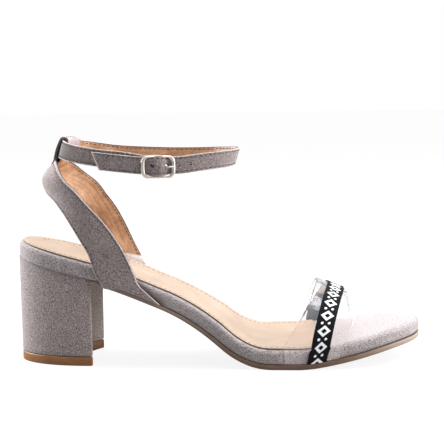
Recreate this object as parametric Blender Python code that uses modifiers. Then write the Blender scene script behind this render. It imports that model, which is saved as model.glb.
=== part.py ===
# Block heel sandal with a sling strap, an ankle strap and a clear band over the toes
# Metres, +Z up, +X towards the toe. It is a right shoe, so its outer side faces -Y.
# The origin is on the floor, under the middle of the heel.
import math

import bmesh
import bpy
import numpy as np
from mathutils import Matrix, Vector

# Driving sizes of the sole
SHOE_LENGTH = 0.2292
BALL_WIDTH = 0.079
SEAT_DROP = 0.0577
TOE_SPRING = 0.0118
BOARD_THICKNESS = 0.0077
SEAT_THICKNESS = 0.0087
BOARD_ROUNDING = 0.0022
OUTSOLE_THICKNESS = 0.0028
OUTSOLE_WAIST = 0.0021
WAIST_END = 0.40
OUTSOLE_INSET = 0.0003
EDGE_ROUNDING = 0.0006
SOCK_THICKNESS = 0.0008
SOCK_MARGIN = 0.0027
SOCK_FRONT = 0.74
BACK_OVERHANG = 0.0225

# Driving sizes of the heel
HEEL_TOP_WIDTH = 0.050
HEEL_TIP_WIDTH = 0.0470
HEEL_TOP_DEPTH = 0.0441
HEEL_TIP_DEPTH = 0.0438
HEEL_BREAST = 0.0213
BREAST_HOLLOW = 0.0080
HEEL_CORNER = 0.0012
TOP_PIECE_HEIGHT = 0.0050

# Driving sizes of the straps
ANKLE_HEIGHT = 0.1155
ANKLE_RISE = 0.0056
ANKLE_LENGTH = 0.0983
ANKLE_WIDTH = 0.0610
ANKLE_BACK = 0.0042
ANKLE_ROUNDNESS = 2.6
ANKLE_LEAN = 0.30
LAP_START = 0.0062
LAP_EASE = 0.0056
BAR_BUMP = 0.0005
BAR_BUMP_REACH = 0.0030
STRAP_WIDTH = 0.0096
STRAP_THICKNESS = 0.0015
QUARTER_THICKNESS = 0.0020
LEG_CENTRE = 0.024
LEG_WIDTH = 0.0620
HEEL_BULGE = 0.0083
HEEL_WRAP = 0.0485
RIM_BLEND = 0.014
LAP_END = 0.150
TIP_SLANT = 0.45
LOOP_WIDTH = 0.0195
LOOP_SHIFT = 0.0024
LOOP_THICKNESS = 0.0014

# Driving sizes of the toe band
BAND_TOP = 0.0446
BAND_TOP_PLACE = 0.146
BAND_FALL = 0.40
BAND_THICKNESS = 0.0009
BAND_ROUNDNESS = 2.2
BAND_WALL_SHARE = 0.28
RIBBON_WIDTH = 0.0100
RIBBON_THICKNESS = 0.0006

# Driving sizes of the buckle
BUCKLE_PLACE = 0.2794
BUCKLE_LENGTH = 0.0190
BUCKLE_CORNER = 0.0034
WIRE = 0.0013
BAR_SHARE = 0.92
FRAME_SINK = 0.0004
REAR_SINK = 0.0001
PRONG_WIRE = 0.0010
PRONG_HOLE = 0.0026
PRONG_PLACE = 0.0040
HOLE = 0.0017
HOLE_PITCH = 0.0066

# Clearance between pieces that lie on each other, and how finely the sole is cut into sections
GAP = 0.0003
SOLE_STATIONS = 42
STRAP_STATIONS = 72
BUCKLE_STATIONS = 19
FINE_REACH = 0.009

# Sole profile from the back to the ball: place, height and slope, as shares of length and drop
DROP_ROWS = (
    # along, height, slope
    (0.000, 1.0000, -1.017),
    (0.203, 0.7936, -1.017),
    (0.360, 0.558, -1.67),
    (0.513, 0.175, -3.20),
    (0.626, 0.000, 0.00),
)

# Toe spring from the ball to the tip, as shares of length and spring
SPRING_ROWS = (
    # along, height, slope
    (0.690, 0.00, 0.0),
    (0.796, 0.27, 3.6),
    (0.900, 0.70, 4.2),
    (1.000, 1.00, 2.1),
)

# Plan outline of the board, as shares of the length and of the ball's width
OUTLINE_ROWS = (
    # along, outer side, inner side
    (0.000, 0.000, 0.000),
    (0.012, 0.148, 0.146),
    (0.045, 0.260, 0.258),
    (0.100, 0.328, 0.323),
    (0.170, 0.351, 0.341),
    (0.270, 0.356, 0.321),
    (0.360, 0.350, 0.300),
    (0.450, 0.360, 0.330),
    (0.535, 0.405, 0.440),
    (0.600, 0.435, 0.520),
    (0.665, 0.449, 0.551),
    (0.745, 0.445, 0.545),
    (0.820, 0.415, 0.490),
    (0.885, 0.355, 0.405),
    (0.940, 0.262, 0.305),
    (0.980, 0.140, 0.195),
    (1.000, -0.077, 0.077),
)

# Sections of the suede-wrapped board, from its feather line up
BOARD_RINGS = (
    # inset as a share of the rounding, height as a share of the thickness
    (0.45, 0.00),
    (0.10, 0.12),
    (0.00, 0.35),
    (0.00, 0.62),
    (0.32, 0.87),
    (1.00, 1.00),
)

# Flat pattern of the sling strap, from its foot in the waist to the back of the ankle.
# Along is a share of the wrap from the back to the side, rise a share of the way from the
# feather line up to the ankle strap.
QUARTER_ROWS = (
    # lower along, lower rise, upper along, upper rise, shift of the inner side
    (1.11, 0.003, 1.75, 0.003, -0.04),
    (1.07, 0.018, 1.61, 0.048, -0.05),
    (1.02, 0.048, 1.51, 0.090, -0.06),
    (0.98, 0.130, 1.46, 0.170, -0.06),
    (0.93, 0.230, 1.37, 0.290, -0.05),
    (0.84, 0.320, 1.24, 0.420, -0.02),
    (0.72, 0.430, 1.09, 0.540, 0.03),
    (0.57, 0.545, 0.93, 0.650, 0.07),
    (0.42, 0.630, 0.74, 0.790, 0.09),
    (0.22, 0.678, 0.44, 0.925, 0.06),
    (0.00, 0.690, 0.00, 0.985, 0.00),
)

# How far the back of the sling strap stands out behind the ankle strap
BULGE_ROWS = (
    # height as a share of the ankle strap's, stand-out as a share of the bulge
    (0.75, 0.52),
    (0.84, 0.76),
    (0.87, 0.94),
    (0.895, 1.00),
    (0.93, 0.76),
    (0.965, 0.30),
    (0.99, 0.02),
    (1.09, -0.44),
)

# Height of the ankle strap's middle along its run, from the buckle round the back to the tip
ANKLE_ROWS = (
    # turns from the back, outer side positive, and rise as a share of the ankle rise
    (-0.90, 0.05),
    (-0.85, -0.03),
    (-0.80, -0.26),
    (-0.755, -0.46),
    (-0.72, -0.50),
    (-0.675, -0.48),
    (-0.634, -0.26),
    (-0.58, -0.06),
    (-0.50, 0.02),
    (-0.42, -0.10),
    (-0.34, -0.20),
    (-0.25, -0.12),
    (-0.16, 0.18),
    (-0.10, 0.62),
    (-0.05, 0.90),
    (0.00, 1.00),
    (0.05, 0.90),
    (0.115, 0.50),
    (0.16, 0.25),
    (0.245, 0.00),
    (0.30, -0.05),
)

# Fold of the sling strap's tab over the ankle strap, seen in section at the back
LOOP_ROWS = (
    # outwards as a share of the leaf's reach, up as a share of half the strap's width
    (1.60, -2.05),
    (1.28, -1.45),
    (1.36, -0.90),
    (1.40, -0.10),
    (1.10, 0.85),
    (0.80, 1.14),
    (0.28, 1.24),
    (-0.28, 1.24),
    (-0.80, 1.14),
    (-1.00, 0.92),
    (-1.00, 0.00),
    (-1.00, -1.00),
    (-0.62, -1.50),
    (0.55, -2.10),
    (2.35, -2.50),
)

# Edges of the clear band and the middle of its ribbon, as shares of the shoe's length
BAND_ROWS = (
    # round the arch from the outer foot to the inner one, rear edge, front edge, ribbon
    (-1.00, 0.652, 0.790, 0.7345),
    (-0.72, 0.655, 0.797, 0.7440),
    (-0.56, 0.689, 0.804, 0.7548),
    (-0.40, 0.714, 0.811, 0.7660),
    (0.00, 0.742, 0.817, 0.7885),
    (0.40, 0.733, 0.828, 0.7770),
    (0.72, 0.710, 0.836, 0.7440),
    (1.00, 0.706, 0.830, 0.7390),
)

# Run of the prong under the strap and up through its hole, in prong diameters
PRONG_ROWS = (
    # forwards of the hole, outwards of the strap's seat
    (-1.6, -0.7),
    (-0.6, -0.5),
    (-0.1, 0.2),
    (0.2, 1.2),
)

# Run of the prong from the hole to the front bar, in prong diameters
PRONG_TOP_ROWS = (
    # forwards of the hole, below its level over the bar
    (0.7, 0.4),
    (1.5, 0.0),
)

# Tip of the prong on the front bar, in prong diameters
PRONG_TIP_ROWS = (
    # forwards of the bar, below its level over the bar
    (0.0, 0.0),
    (0.9, 0.1),
)

# Colour, roughness, metallic
FINISHES = {
    "suede": ((0.245, 0.220, 0.222, 1.0), 0.90, 0.0),
    "lining": ((0.780, 0.560, 0.430, 1.0), 0.55, 0.0),
    "outsole": ((0.300, 0.240, 0.195, 1.0), 0.60, 0.0),
    "top piece": ((0.180, 0.125, 0.085, 1.0), 0.50, 0.0),
    "clear": ((0.900, 0.920, 0.930, 1.0), 0.08, 0.0),
    "ribbon": ((0.012, 0.012, 0.014, 1.0), 0.70, 0.0),
    "metal": ((0.700, 0.680, 0.650, 1.0), 0.22, 1.0),
}


def clear_scene():
    for obj in list(bpy.data.objects):
        bpy.data.objects.remove(obj, do_unlink=True)


def new_collection(name):
    collection = bpy.data.collections.new(name)
    bpy.context.scene.collection.children.link(collection)
    return collection


def finish(obj, finish_name, label):
    colour, roughness, metallic = FINISHES[finish_name]
    material = bpy.data.materials.new(label)
    material.use_nodes = True
    shader = material.node_tree.nodes["Principled BSDF"]
    shader.inputs["Base Color"].default_value = colour
    shader.inputs["Roughness"].default_value = roughness
    shader.inputs["Metallic"].default_value = metallic
    obj.data.materials.clear()
    obj.data.materials.append(material)


def add_mesh(name, points, faces, collection):
    bm = bmesh.new()
    verts = [bm.verts.new(tuple(p)) for p in points]
    for face in faces:
        corners = []
        for index in face:
            if verts[index] not in corners:
                corners.append(verts[index])
        if len(corners) > 2:
            bm.faces.new(corners)
    bmesh.ops.remove_doubles(bm, verts=bm.verts, dist=1e-6)
    bmesh.ops.recalc_face_normals(bm, faces=bm.faces)
    mesh = bpy.data.meshes.new(name)
    bm.to_mesh(mesh)
    bm.free()
    mesh.shade_smooth()
    mesh.set_sharp_from_angle(angle=math.radians(40))
    obj = bpy.data.objects.new(name, mesh)
    collection.objects.link(obj)
    return obj


# Curves through rows of a table

def column(rows, index):
    return np.array([row[index] for row in rows], dtype=float)


def hermite(at, knots, values, slopes):
    """Cubic between knots with given slopes, held level outside them."""
    at = np.clip(np.asarray(at, dtype=float), knots[0], knots[-1])
    cell = np.clip(np.searchsorted(knots, at, side="right") - 1, 0, len(knots) - 2)
    span = knots[cell + 1] - knots[cell]
    t = (at - knots[cell]) / span
    start = (1 - 3 * t ** 2 + 2 * t ** 3) * values[cell] + t * (1 - t) ** 2 * span * slopes[cell]
    end = (3 * t ** 2 - 2 * t ** 3) * values[cell + 1] + t * t * (t - 1) * span * slopes[cell + 1]
    return start + end


def smooth(at, knots, values):
    """Smooth curve through the values, each slope read from its two neighbours."""
    slopes = np.gradient(values, knots)
    return hermite(at, knots, values, slopes)


def ease(t):
    t = np.clip(t, 0.0, 1.0)
    return t * t * (3 - 2 * t)


# Sole profile and plan outline

def place(share):
    """X of a share of the shoe's length, from the back of the board."""
    return np.asarray(share, dtype=float) * SHOE_LENGTH - BACK_OVERHANG


def share_of(x):
    return (np.asarray(x, dtype=float) + BACK_OVERHANG) / SHOE_LENGTH


def feather(x):
    """Height of the board's underside, and the factor from thickness to upright height."""
    def height(share):
        drop = hermite(share, column(DROP_ROWS, 0), column(DROP_ROWS, 1), column(DROP_ROWS, 2))
        rise = hermite(share, column(SPRING_ROWS, 0), column(SPRING_ROWS, 1), column(SPRING_ROWS, 2))
        return OUTSOLE_THICKNESS + GAP + SEAT_DROP * drop + TOE_SPRING * rise
    share = share_of(x)
    step = 0.001
    slope = (height(share + step / 2) - height(share - step / 2)) / (step * SHOE_LENGTH)
    flat = (share >= DROP_ROWS[-1][0]) & (share <= SPRING_ROWS[0][0])
    upright = np.where(flat, 1.0, np.sqrt(1 + slope ** 2))
    return height(share), upright


def layer_height(x, depth):
    """Height of a surface that lies a given depth above the feather line."""
    height, upright = feather(x)
    return height + depth * upright


def board_depth(x):
    """Thickness of the board, which grows from the waist back to the heel seat."""
    return BOARD_THICKNESS + (SEAT_THICKNESS - BOARD_THICKNESS) * (1 - ease(share_of(x) / WAIST_END))


def board_top(x):
    return layer_height(x, board_depth(x))


def side_width(share, side):
    """Half-width of the board: side 1 is the outer one, side 2 the inner one."""
    turn = np.arccos(1 - 2 * np.clip(share, 0, 1))
    knots = np.arccos(1 - 2 * column(OUTLINE_ROWS, 0))
    return BALL_WIDTH * smooth(turn, knots, column(OUTLINE_ROWS, side))


def sole_stations(first=0.0, last=1.0):
    """Shares of the length, closer at the ends, with one on each end of the flat spot."""
    shares = (1 - np.cos(np.linspace(0, math.pi, SOLE_STATIONS))) / 2
    for fixed in (DROP_ROWS[-1][0], SPRING_ROWS[0][0]):
        shares[np.argmin(np.abs(shares - fixed))] = fixed
    margin = 0.25 / SOLE_STATIONS
    inside = shares[(shares > first + margin) & (shares < last - margin)]
    return np.concatenate([[first], inside, [last]])


def side_points(shares, side, inset):
    """Plan points on one side of the outline, moved in by the inset along the outline's normal."""
    sign = -1.0 if side == 1 else 1.0
    turn = np.arccos(1 - 2 * shares)
    step = 0.004
    before = (1 - np.cos(np.clip(turn - step, 0, math.pi))) / 2
    after = (1 - np.cos(np.clip(turn + step, 0, math.pi))) / 2
    along = place(after) - place(before)
    across = sign * (side_width(after, side) - side_width(before, side))
    length = np.hypot(along, across)
    normal = np.stack([across, -along], 1) / length[:, None] * sign
    points = np.stack([place(shares), sign * side_width(shares, side)], 1)
    ends = (shares <= 1e-9) | (shares >= 1 - 1e-9)
    back_or_tip = np.where(shares < 0.5, 1.0, -1.0)
    normal[ends] = np.stack([back_or_tip, np.zeros_like(back_or_tip)], 1)[ends]
    return points + normal * inset


def sole_layer(name, shares, rings, collection, rear_arc=None):
    """Closed layer of the sole: rings of plan points between two capped ends.

    Each ring is an inset and a depth above the feather line, or a function that gives it."""
    count = len(shares)
    points = []
    for inset, depth in rings:
        outer = side_points(shares, 1, inset)
        inner = side_points(shares, 2, inset)[::-1]
        loop = np.concatenate([outer, inner] if rear_arc is None else [outer, inner, rear_arc])
        lift = depth(loop[:, 0]) if callable(depth) else depth
        points.append(np.column_stack([loop, layer_height(loop[:, 0], lift)]))
    size = len(points[0])
    faces = []
    for ring in range(len(rings) - 1):
        for k in range(size):
            here = ring * size
            after = (k + 1) % size
            faces.append((here + k, here + after, here + size + after, here + size + k))
    for base in (0, (len(rings) - 1) * size):
        for k in range(0 if rear_arc is None else 1, count - 1):
            inner_k = 2 * count - 1 - k
            faces.append((base + k, base + k + 1, base + inner_k - 1, base + inner_k))
        if rear_arc is not None:
            faces.append((base, base + 1) + tuple(range(base + 2 * count - 2, base + size)))
    return add_mesh(name, np.concatenate(points), faces, collection)


# Block heel

def heel_outline(width, depth, inset):
    """D outline: half an ellipse round the back, small corners and a hollow breast."""
    half = width / 2 - inset
    front = HEEL_BREAST - inset
    reach = depth - 2 * inset
    turn = np.linspace(0, math.pi, 25)
    corner = HEEL_CORNER
    back = np.stack([front - corner - (reach - corner) * np.sin(turn), half * np.cos(turn)], 1)
    sweep = np.linspace(-1, 1, 11)
    breast_half = half - corner
    hollow = BREAST_HOLLOW * (1 - sweep ** 2)
    breast = np.stack([front - hollow, breast_half * sweep], 1)
    nick = corner * 0.3
    soften = [[front - nick, -half + nick]]
    return np.concatenate([back, soften, breast, [[front - nick, half - nick]]])


def heel_prism(name, rings, collection):
    """Closed stack of heel outlines: each ring has plan points and heights."""
    points = np.concatenate([np.column_stack([plan, height]) for plan, height in rings])
    size = len(rings[0][0])
    faces = []
    for ring in range(len(rings) - 1):
        for k in range(size):
            here = ring * size
            after = (k + 1) % size
            faces.append((here + k, here + after, here + size + after, here + size + k))
    faces.append(tuple(range(size)))
    last = (len(rings) - 1) * size
    faces.append(tuple(range(last, last + size)))
    return add_mesh(name, points, faces, collection)


def build_heel(collection):
    tip_top = TOP_PIECE_HEIGHT
    level = np.ones(len(heel_outline(1, 1, 0)))
    rings = []
    for inset, height in ((EDGE_ROUNDING, 0.0), (0.0, EDGE_ROUNDING), (0.0, tip_top)):
        rings.append((heel_outline(HEEL_TIP_WIDTH, HEEL_TIP_DEPTH, inset), height * level))
    tip = heel_prism("heel_top_piece", rings, collection)
    finish(tip, "top piece", "Heel top piece")

    foot = tip_top + GAP
    rings = []
    for inset, height in ((EDGE_ROUNDING, foot), (0.0, foot + EDGE_ROUNDING)):
        rings.append((heel_outline(HEEL_TIP_WIDTH, HEEL_TIP_DEPTH, inset), height * level))
    for inset, depth in ((0.0, GAP + EDGE_ROUNDING), (EDGE_ROUNDING, GAP)):
        plan = heel_outline(HEEL_TOP_WIDTH, HEEL_TOP_DEPTH, inset)
        rings.append((plan, layer_height(plan[:, 0], -depth)))
    block = heel_prism("heel_block", rings, collection)
    finish(block, "suede", "Heel suede")


# Sole

def build_sole(collection):
    rings = [(OUTSOLE_INSET + inset * BOARD_ROUNDING, lambda x, rise=rise: rise * board_depth(x))
             for inset, rise in BOARD_RINGS]
    board = sole_layer("platform", sole_stations(), rings, collection)
    finish(board, "suede", "Platform suede")

    first = float(share_of(HEEL_BREAST + GAP))

    def bottom(x, lift=0.0):
        grown = ease((share_of(x) - WAIST_END) / (DROP_ROWS[-1][0] - WAIST_END))
        return lift - GAP - OUTSOLE_WAIST - (OUTSOLE_THICKNESS - OUTSOLE_WAIST) * grown

    rings = [
        (OUTSOLE_INSET + EDGE_ROUNDING, bottom),
        (OUTSOLE_INSET, lambda x: bottom(x, EDGE_ROUNDING)),
        (OUTSOLE_INSET, -GAP),
    ]
    sweep = np.linspace(1, -1, 11)
    reach = HEEL_TOP_WIDTH / 2 - HEEL_CORNER
    hollow = BREAST_HOLLOW * (1 - sweep ** 2)
    arc = np.stack([HEEL_BREAST + GAP - hollow, reach * sweep], 1)
    outsole = sole_layer("outsole", sole_stations(first=first), rings, collection, arc)
    finish(outsole, "outsole", "Outsole")

    rings = [
        (SOCK_MARGIN, lambda x: board_depth(x) + GAP),
        (SOCK_MARGIN, lambda x: board_depth(x) + GAP + SOCK_THICKNESS / 2),
        (SOCK_MARGIN + SOCK_THICKNESS / 2, lambda x: board_depth(x) + GAP + SOCK_THICKNESS),
    ]
    sock = sole_layer("sock_lining", sole_stations(last=SOCK_FRONT), rings, collection)
    finish(sock, "lining", "Sock lining")


# Shells from a grid of points

def shell(name, grid, thickness, collection):
    """Open surface through a grid of points, thickened away from the grid's own middle."""
    rows, columns = grid.shape[:2]
    faces = []
    for i in range(rows - 1):
        for j in range(columns - 1):
            a = i * columns + j
            faces.append((a, a + 1, a + columns + 1, a + columns))
    points = grid.reshape(-1, 3)
    along = np.gradient(grid, axis=0)
    across = np.gradient(grid, axis=1)
    outward = np.sum(np.cross(across, along) * (grid - points.mean(axis=0)), axis=2).sum()
    if outward < 0:
        faces = [face[::-1] for face in faces]
    mesh = bpy.data.meshes.new(name)
    mesh.from_pydata([tuple(p) for p in points], [], faces)
    mesh.shade_smooth()
    obj = bpy.data.objects.new(name, mesh)
    collection.objects.link(obj)
    wall = obj.modifiers.new("wall", "SOLIDIFY")
    wall.thickness = thickness
    wall.offset = 1.0
    wall.use_even_offset = True
    return obj


def surface_normals(grid):
    """Unit normals of a grid of points, pointing away from the grid's middle."""
    normal = np.cross(np.gradient(grid, axis=1), np.gradient(grid, axis=0))
    normal /= np.linalg.norm(normal, axis=2, keepdims=True)
    outward = np.sum(normal * (grid - grid.reshape(-1, 3).mean(axis=0)), axis=2).sum()
    return normal * np.sign(outward)


# Sling strap

def leg_point(side, along, rise):
    """Point on the inside of the sling strap, from its flat pattern."""
    quarter = np.clip(along, 0, 1) * math.pi / 2
    x = LEG_CENTRE * np.ones_like(along)
    for _ in range(4):
        foot = feather(x)[0]
        z = foot + rise * (ANKLE_HEIGHT - foot)
        bulge = smooth(z / ANKLE_HEIGHT, column(BULGE_ROWS, 0), column(BULGE_ROWS, 1))
        back = ANKLE_BACK - STRAP_THICKNESS / 2 - GAP - LOOP_THICKNESS * 2 - bulge * HEEL_BULGE
        reach = LEG_CENTRE - back - QUARTER_THICKNESS
        x = LEG_CENTRE - reach * np.cos(quarter) + np.maximum(along - 1, 0) * HEEL_WRAP
    leg = (LEG_WIDTH / 2 - QUARTER_THICKNESS) * np.sin(quarter)
    board = side_width(share_of(x), side) - OUTSOLE_INSET + GAP
    low = 1 - ease((z - board_top(x)) / RIM_BLEND)
    half = leg + (board - leg) * low
    return np.stack([x, (-half if side == 1 else half), z], -1)


def build_quarter(collection):
    rows = np.array(QUARTER_ROWS)
    knots = np.arange(len(rows), dtype=float)
    steps = np.linspace(0, len(rows) - 1, 37)
    lower_along, lower_rise, upper_along, upper_rise, shift = [smooth(steps, knots, rows[:, k])
                                                               for k in range(5)]
    across = np.linspace(0, 1, 5)[None, :]
    along = lower_along[:, None] + (upper_along - lower_along)[:, None] * across
    rise = lower_rise[:, None] + (upper_rise - lower_rise)[:, None] * across
    outer = leg_point(1, along, rise)
    inner = leg_point(2, along + shift[:, None], rise)
    grid = np.concatenate([outer, inner[-2::-1]])
    strap = shell("quarter_strap", grid, QUARTER_THICKNESS, collection)
    finish(strap, "suede", "Sling strap suede")
    return strap


# Ankle strap

def ankle_ring(count=720):
    """Plan path of the ankle strap, once round from the back, outer side first."""
    turn = np.linspace(0, 2 * math.pi, count + 1)
    power = 2 / ANKLE_ROUNDNESS
    half = ANKLE_LENGTH / 2
    x = ANKLE_BACK + half - half * np.sign(np.cos(turn)) * np.abs(np.cos(turn)) ** power
    y = -ANKLE_WIDTH / 2 * np.sign(np.sin(turn)) * np.abs(np.sin(turn)) ** power
    length = np.concatenate([[0], np.cumsum(np.hypot(np.diff(x), np.diff(y)))])
    return x, y, length


RING_X, RING_Y, RING_LENGTH = ankle_ring()
GIRTH = float(RING_LENGTH[-1])


def ring_at(turns):
    """Plan point and outward normal at a number of turns from the back."""
    def point(t):
        at = np.mod(t, 1.0) * GIRTH
        return np.stack([np.interp(at, RING_LENGTH, RING_X), np.interp(at, RING_LENGTH, RING_Y)], -1)
    step = 0.004
    tangent = point(np.asarray(turns) + step) - point(np.asarray(turns) - step)
    tangent /= np.linalg.norm(tangent, axis=-1, keepdims=True)
    normal = np.stack([tangent[..., 1], -tangent[..., 0]], -1)
    return point(np.asarray(turns)), normal


def strap_height(turns):
    rise = smooth(turns, column(ANKLE_ROWS, 0), column(ANKLE_ROWS, 1))
    return ANKLE_HEIGHT + ANKLE_RISE * rise


def strap_lift(turns):
    """How far the strap stands out where it passes over the buckle's bar and its own start."""
    lap = STRAP_THICKNESS + GAP
    before = (BUCKLE_PLACE - 1 - np.asarray(turns)) * GIRTH
    lift = lap * ease((before + LAP_START) / LAP_EASE)
    return lift + BAR_BUMP * np.exp(-(before / BAR_BUMP_REACH) ** 2)


def ankle_point(turns, out, up, height_turns=None):
    """Point of the ankle strap's frame: turns from the back, outwards and up from its middle."""
    plan, normal = ring_at(turns)
    height = strap_height(turns if height_turns is None else height_turns)
    lean = ANKLE_LEAN * normal[..., 0]
    shift = out + lean * up
    return np.stack([plan[..., 0] + normal[..., 0] * shift,
                     plan[..., 1] + normal[..., 1] * shift,
                     height + up - lean * out], -1)


def build_ankle_strap(collection, cutters):
    ups = np.linspace(-0.5, 0.5, 3) * STRAP_WIDTH
    start = BUCKLE_PLACE - (WIRE / 2 + GAP) / GIRTH
    end = LAP_END - 1
    last = end - TIP_SLANT * ups[None, :] / GIRTH
    bar_share = (start - (BUCKLE_PLACE - 1)) / (start - end)
    near_buckle = bar_share + np.linspace(-FINE_REACH, FINE_REACH, BUCKLE_STATIONS) / GIRTH
    share = np.linspace(0, 1, STRAP_STATIONS)
    apart = GIRTH / STRAP_STATIONS / 2
    share = share[np.abs(share - bar_share) > (FINE_REACH + apart) / GIRTH]
    share = np.sort(np.concatenate([share, near_buckle]))[:, None]
    turns = start + (last - start) * share
    lift = strap_lift(turns)
    up = np.broadcast_to(ups[None, :], turns.shape)
    grid = ankle_point(turns, lift - STRAP_THICKNESS / 2, up)
    strap = shell("ankle_strap", grid, STRAP_THICKNESS, collection)
    finish(strap, "suede", "Ankle strap suede")
    bar = BUCKLE_PLACE - 1
    for step, diameter in ((0, PRONG_HOLE), (-1, HOLE), (-2, HOLE), (1, HOLE), (2, HOLE)):
        turns = bar + (PRONG_PLACE + step * HOLE_PITCH) / GIRTH
        middle = ankle_point(turns, strap_lift(turns), 0.0)
        add_cutter(cutters, strap, middle, ring_at(turns)[1], diameter)
    return strap


def add_cutter(cutters, target, middle, outward, diameter):
    inwards = STRAP_THICKNESS / 2 + GAP / 2
    outwards = STRAP_THICKNESS * 2
    depth = inwards + outwards
    mesh = bpy.data.meshes.new("punch")
    bm = bmesh.new()
    bmesh.ops.create_cone(bm, cap_ends=True, segments=12, radius1=diameter / 2,
                          radius2=diameter / 2, depth=depth)
    bm.to_mesh(mesh)
    bm.free()
    punch = bpy.data.objects.new("punch", mesh)
    cutters.objects.link(punch)
    direction = Vector((float(outward[0]), float(outward[1]), 0.0))
    middle = Vector(middle) + direction * (outwards - inwards) / 2
    turn = direction.to_track_quat("Z", "Y").to_matrix().to_4x4()
    punch.matrix_world = Matrix.Translation(middle) @ turn
    punch.hide_render = True
    punch.display_type = "WIRE"
    cut = target.modifiers.new("hole", "BOOLEAN")
    cut.operation = "DIFFERENCE"
    cut.solver = "EXACT"
    cut.object = punch


# Fold that holds the ankle strap at the back

def build_loop(quarter, cutters):
    """Leaf of even thickness along the fold's section, swept round the back of the strap."""
    reach = STRAP_THICKNESS / 2 + GAP + LOOP_THICKNESS / 2
    path = np.array(LOOP_ROWS) * np.array([reach, STRAP_WIDTH / 2])
    tangent = np.gradient(path, axis=0)
    tangent /= np.linalg.norm(tangent, axis=1, keepdims=True)
    side = np.stack([-tangent[:, 1], tangent[:, 0]], 1) * LOOP_THICKNESS / 2
    section = np.concatenate([path + side, (path - side)[::-1]])
    half_turn = LOOP_WIDTH / 2 / GIRTH
    turns = np.linspace(-half_turn, half_turn, 9) - LOOP_SHIFT / GIRTH
    points = np.concatenate([ankle_point(np.full(len(section), t), section[:, 0], section[:, 1])
                             for t in turns])
    size = len(section)
    faces = []
    for i in range(len(turns) - 1):
        for k in range(size):
            here = i * size
            after = (k + 1) % size
            faces.append((here + k, here + after, here + size + after, here + size + k))
    for base in (0, (len(turns) - 1) * size):
        for k in range(len(path) - 1):
            far = size - 1 - k
            faces.append((base + k, base + k + 1, base + far - 1, base + far))
    loop = add_mesh("loop fold", points, faces, cutters)
    loop.hide_render = True
    loop.display_type = "WIRE"
    join = quarter.modifiers.new("fold", "BOOLEAN")
    join.operation = "UNION"
    join.solver = "EXACT"
    join.object = loop


# Clear toe band and its ribbon

def band_point(arch, x):
    """Point on the inside of the toe band, round its arch at a given X."""
    wall = np.clip((np.abs(arch) - (1 - BAND_WALL_SHARE)) / BAND_WALL_SHARE, 0, 1)
    turn = np.clip(arch / (1 - BAND_WALL_SHARE), -1, 1) * math.pi / 2
    power = 2 / BAND_ROUNDNESS
    outer = side_width(share_of(x), 1) - OUTSOLE_INSET + GAP
    inner = side_width(share_of(x), 2) - OUTSOLE_INSET + GAP
    middle = (inner - outer) / 2
    half = (inner + outer) / 2
    rim = board_top(x)
    foot = layer_height(x, GAP)
    top = BAND_TOP - BAND_FALL * (x - BAND_TOP_PLACE) - BAND_THICKNESS
    y = middle + half * np.sign(turn) * np.abs(np.sin(turn)) ** power
    z = rim + (top - rim) * np.abs(np.cos(turn)) ** power
    z = np.where(wall > 0, rim + (foot - rim) * wall, z)
    return np.stack([x, y, z], -1)


def build_toe_band(collection):
    rows = np.array(BAND_ROWS)
    turn = np.linspace(-1, 1, 33)
    wall = BAND_WALL_SHARE
    arch = np.concatenate([[-1, -1 + wall / 2], turn * (1 - wall), [1 - wall / 2, 1]])
    rear, front, ribbon = [place(smooth(arch, rows[:, 0], rows[:, k])) for k in (1, 2, 3)]
    across = np.linspace(0, 1, 6)[None, :]
    x = rear[:, None] + (front - rear)[:, None] * across
    grid = band_point(arch[:, None] * np.ones_like(x), x)
    band = shell("toe_band", grid, BAND_THICKNESS, collection)
    finish(band, "clear", "Clear band")

    middle = band_point(arch, ribbon)
    run = np.gradient(middle, axis=0)
    run /= np.linalg.norm(run, axis=1, keepdims=True)
    forward = band_point(arch, ribbon + GAP) - middle
    spread = np.linalg.norm(np.cross(forward, run), axis=1) / GAP
    x = ribbon[:, None] + np.linspace(-0.5, 0.5, 3)[None, :] * RIBBON_WIDTH / spread[:, None]
    grid = band_point(arch[:, None] * np.ones_like(x), x)
    grid = grid + surface_normals(grid) * (BAND_THICKNESS + GAP)
    strip = shell("toe_ribbon", grid, RIBBON_THICKNESS, collection)
    finish(strip, "ribbon", "Woven ribbon")


# Buckle

def wire(name, points, diameter, collection, cyclic=False):
    curve = bpy.data.curves.new(name, "CURVE")
    curve.dimensions = "3D"
    curve.bevel_depth = diameter / 2
    curve.bevel_resolution = 2
    curve.use_fill_caps = True
    spline = curve.splines.new("POLY")
    spline.points.add(len(points) - 1)
    for target, point in zip(spline.points, points):
        target.co = (point[0], point[1], point[2], 1.0)
    spline.use_cyclic_u = cyclic
    obj = bpy.data.objects.new(name, curve)
    collection.objects.link(obj)
    bpy.context.view_layer.update()
    graph = bpy.context.evaluated_depsgraph_get()
    mesh = bpy.data.meshes.new_from_object(obj.evaluated_get(graph))
    bm = bmesh.new()
    bm.from_mesh(mesh)
    bmesh.ops.remove_doubles(bm, verts=bm.verts, dist=1e-6)
    bmesh.ops.recalc_face_normals(bm, faces=bm.faces)
    bm.to_mesh(mesh)
    bm.free()
    mesh.shade_smooth()
    mesh.set_sharp_from_angle(angle=math.radians(50))
    bpy.data.objects.remove(obj, do_unlink=True)
    solid = bpy.data.objects.new(name, mesh)
    collection.objects.link(solid)
    return solid


def buckle_point(along, out, up):
    """Point in the buckle's own frame: forwards, outwards and up from its centre bar."""
    plan, normal = ring_at(BUCKLE_PLACE)
    forward = np.array([-normal[1], normal[0]])
    height = float(strap_height(BUCKLE_PLACE - 1))
    flat = plan + forward * along + normal * out
    return np.array([flat[0], flat[1], height + up])


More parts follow.
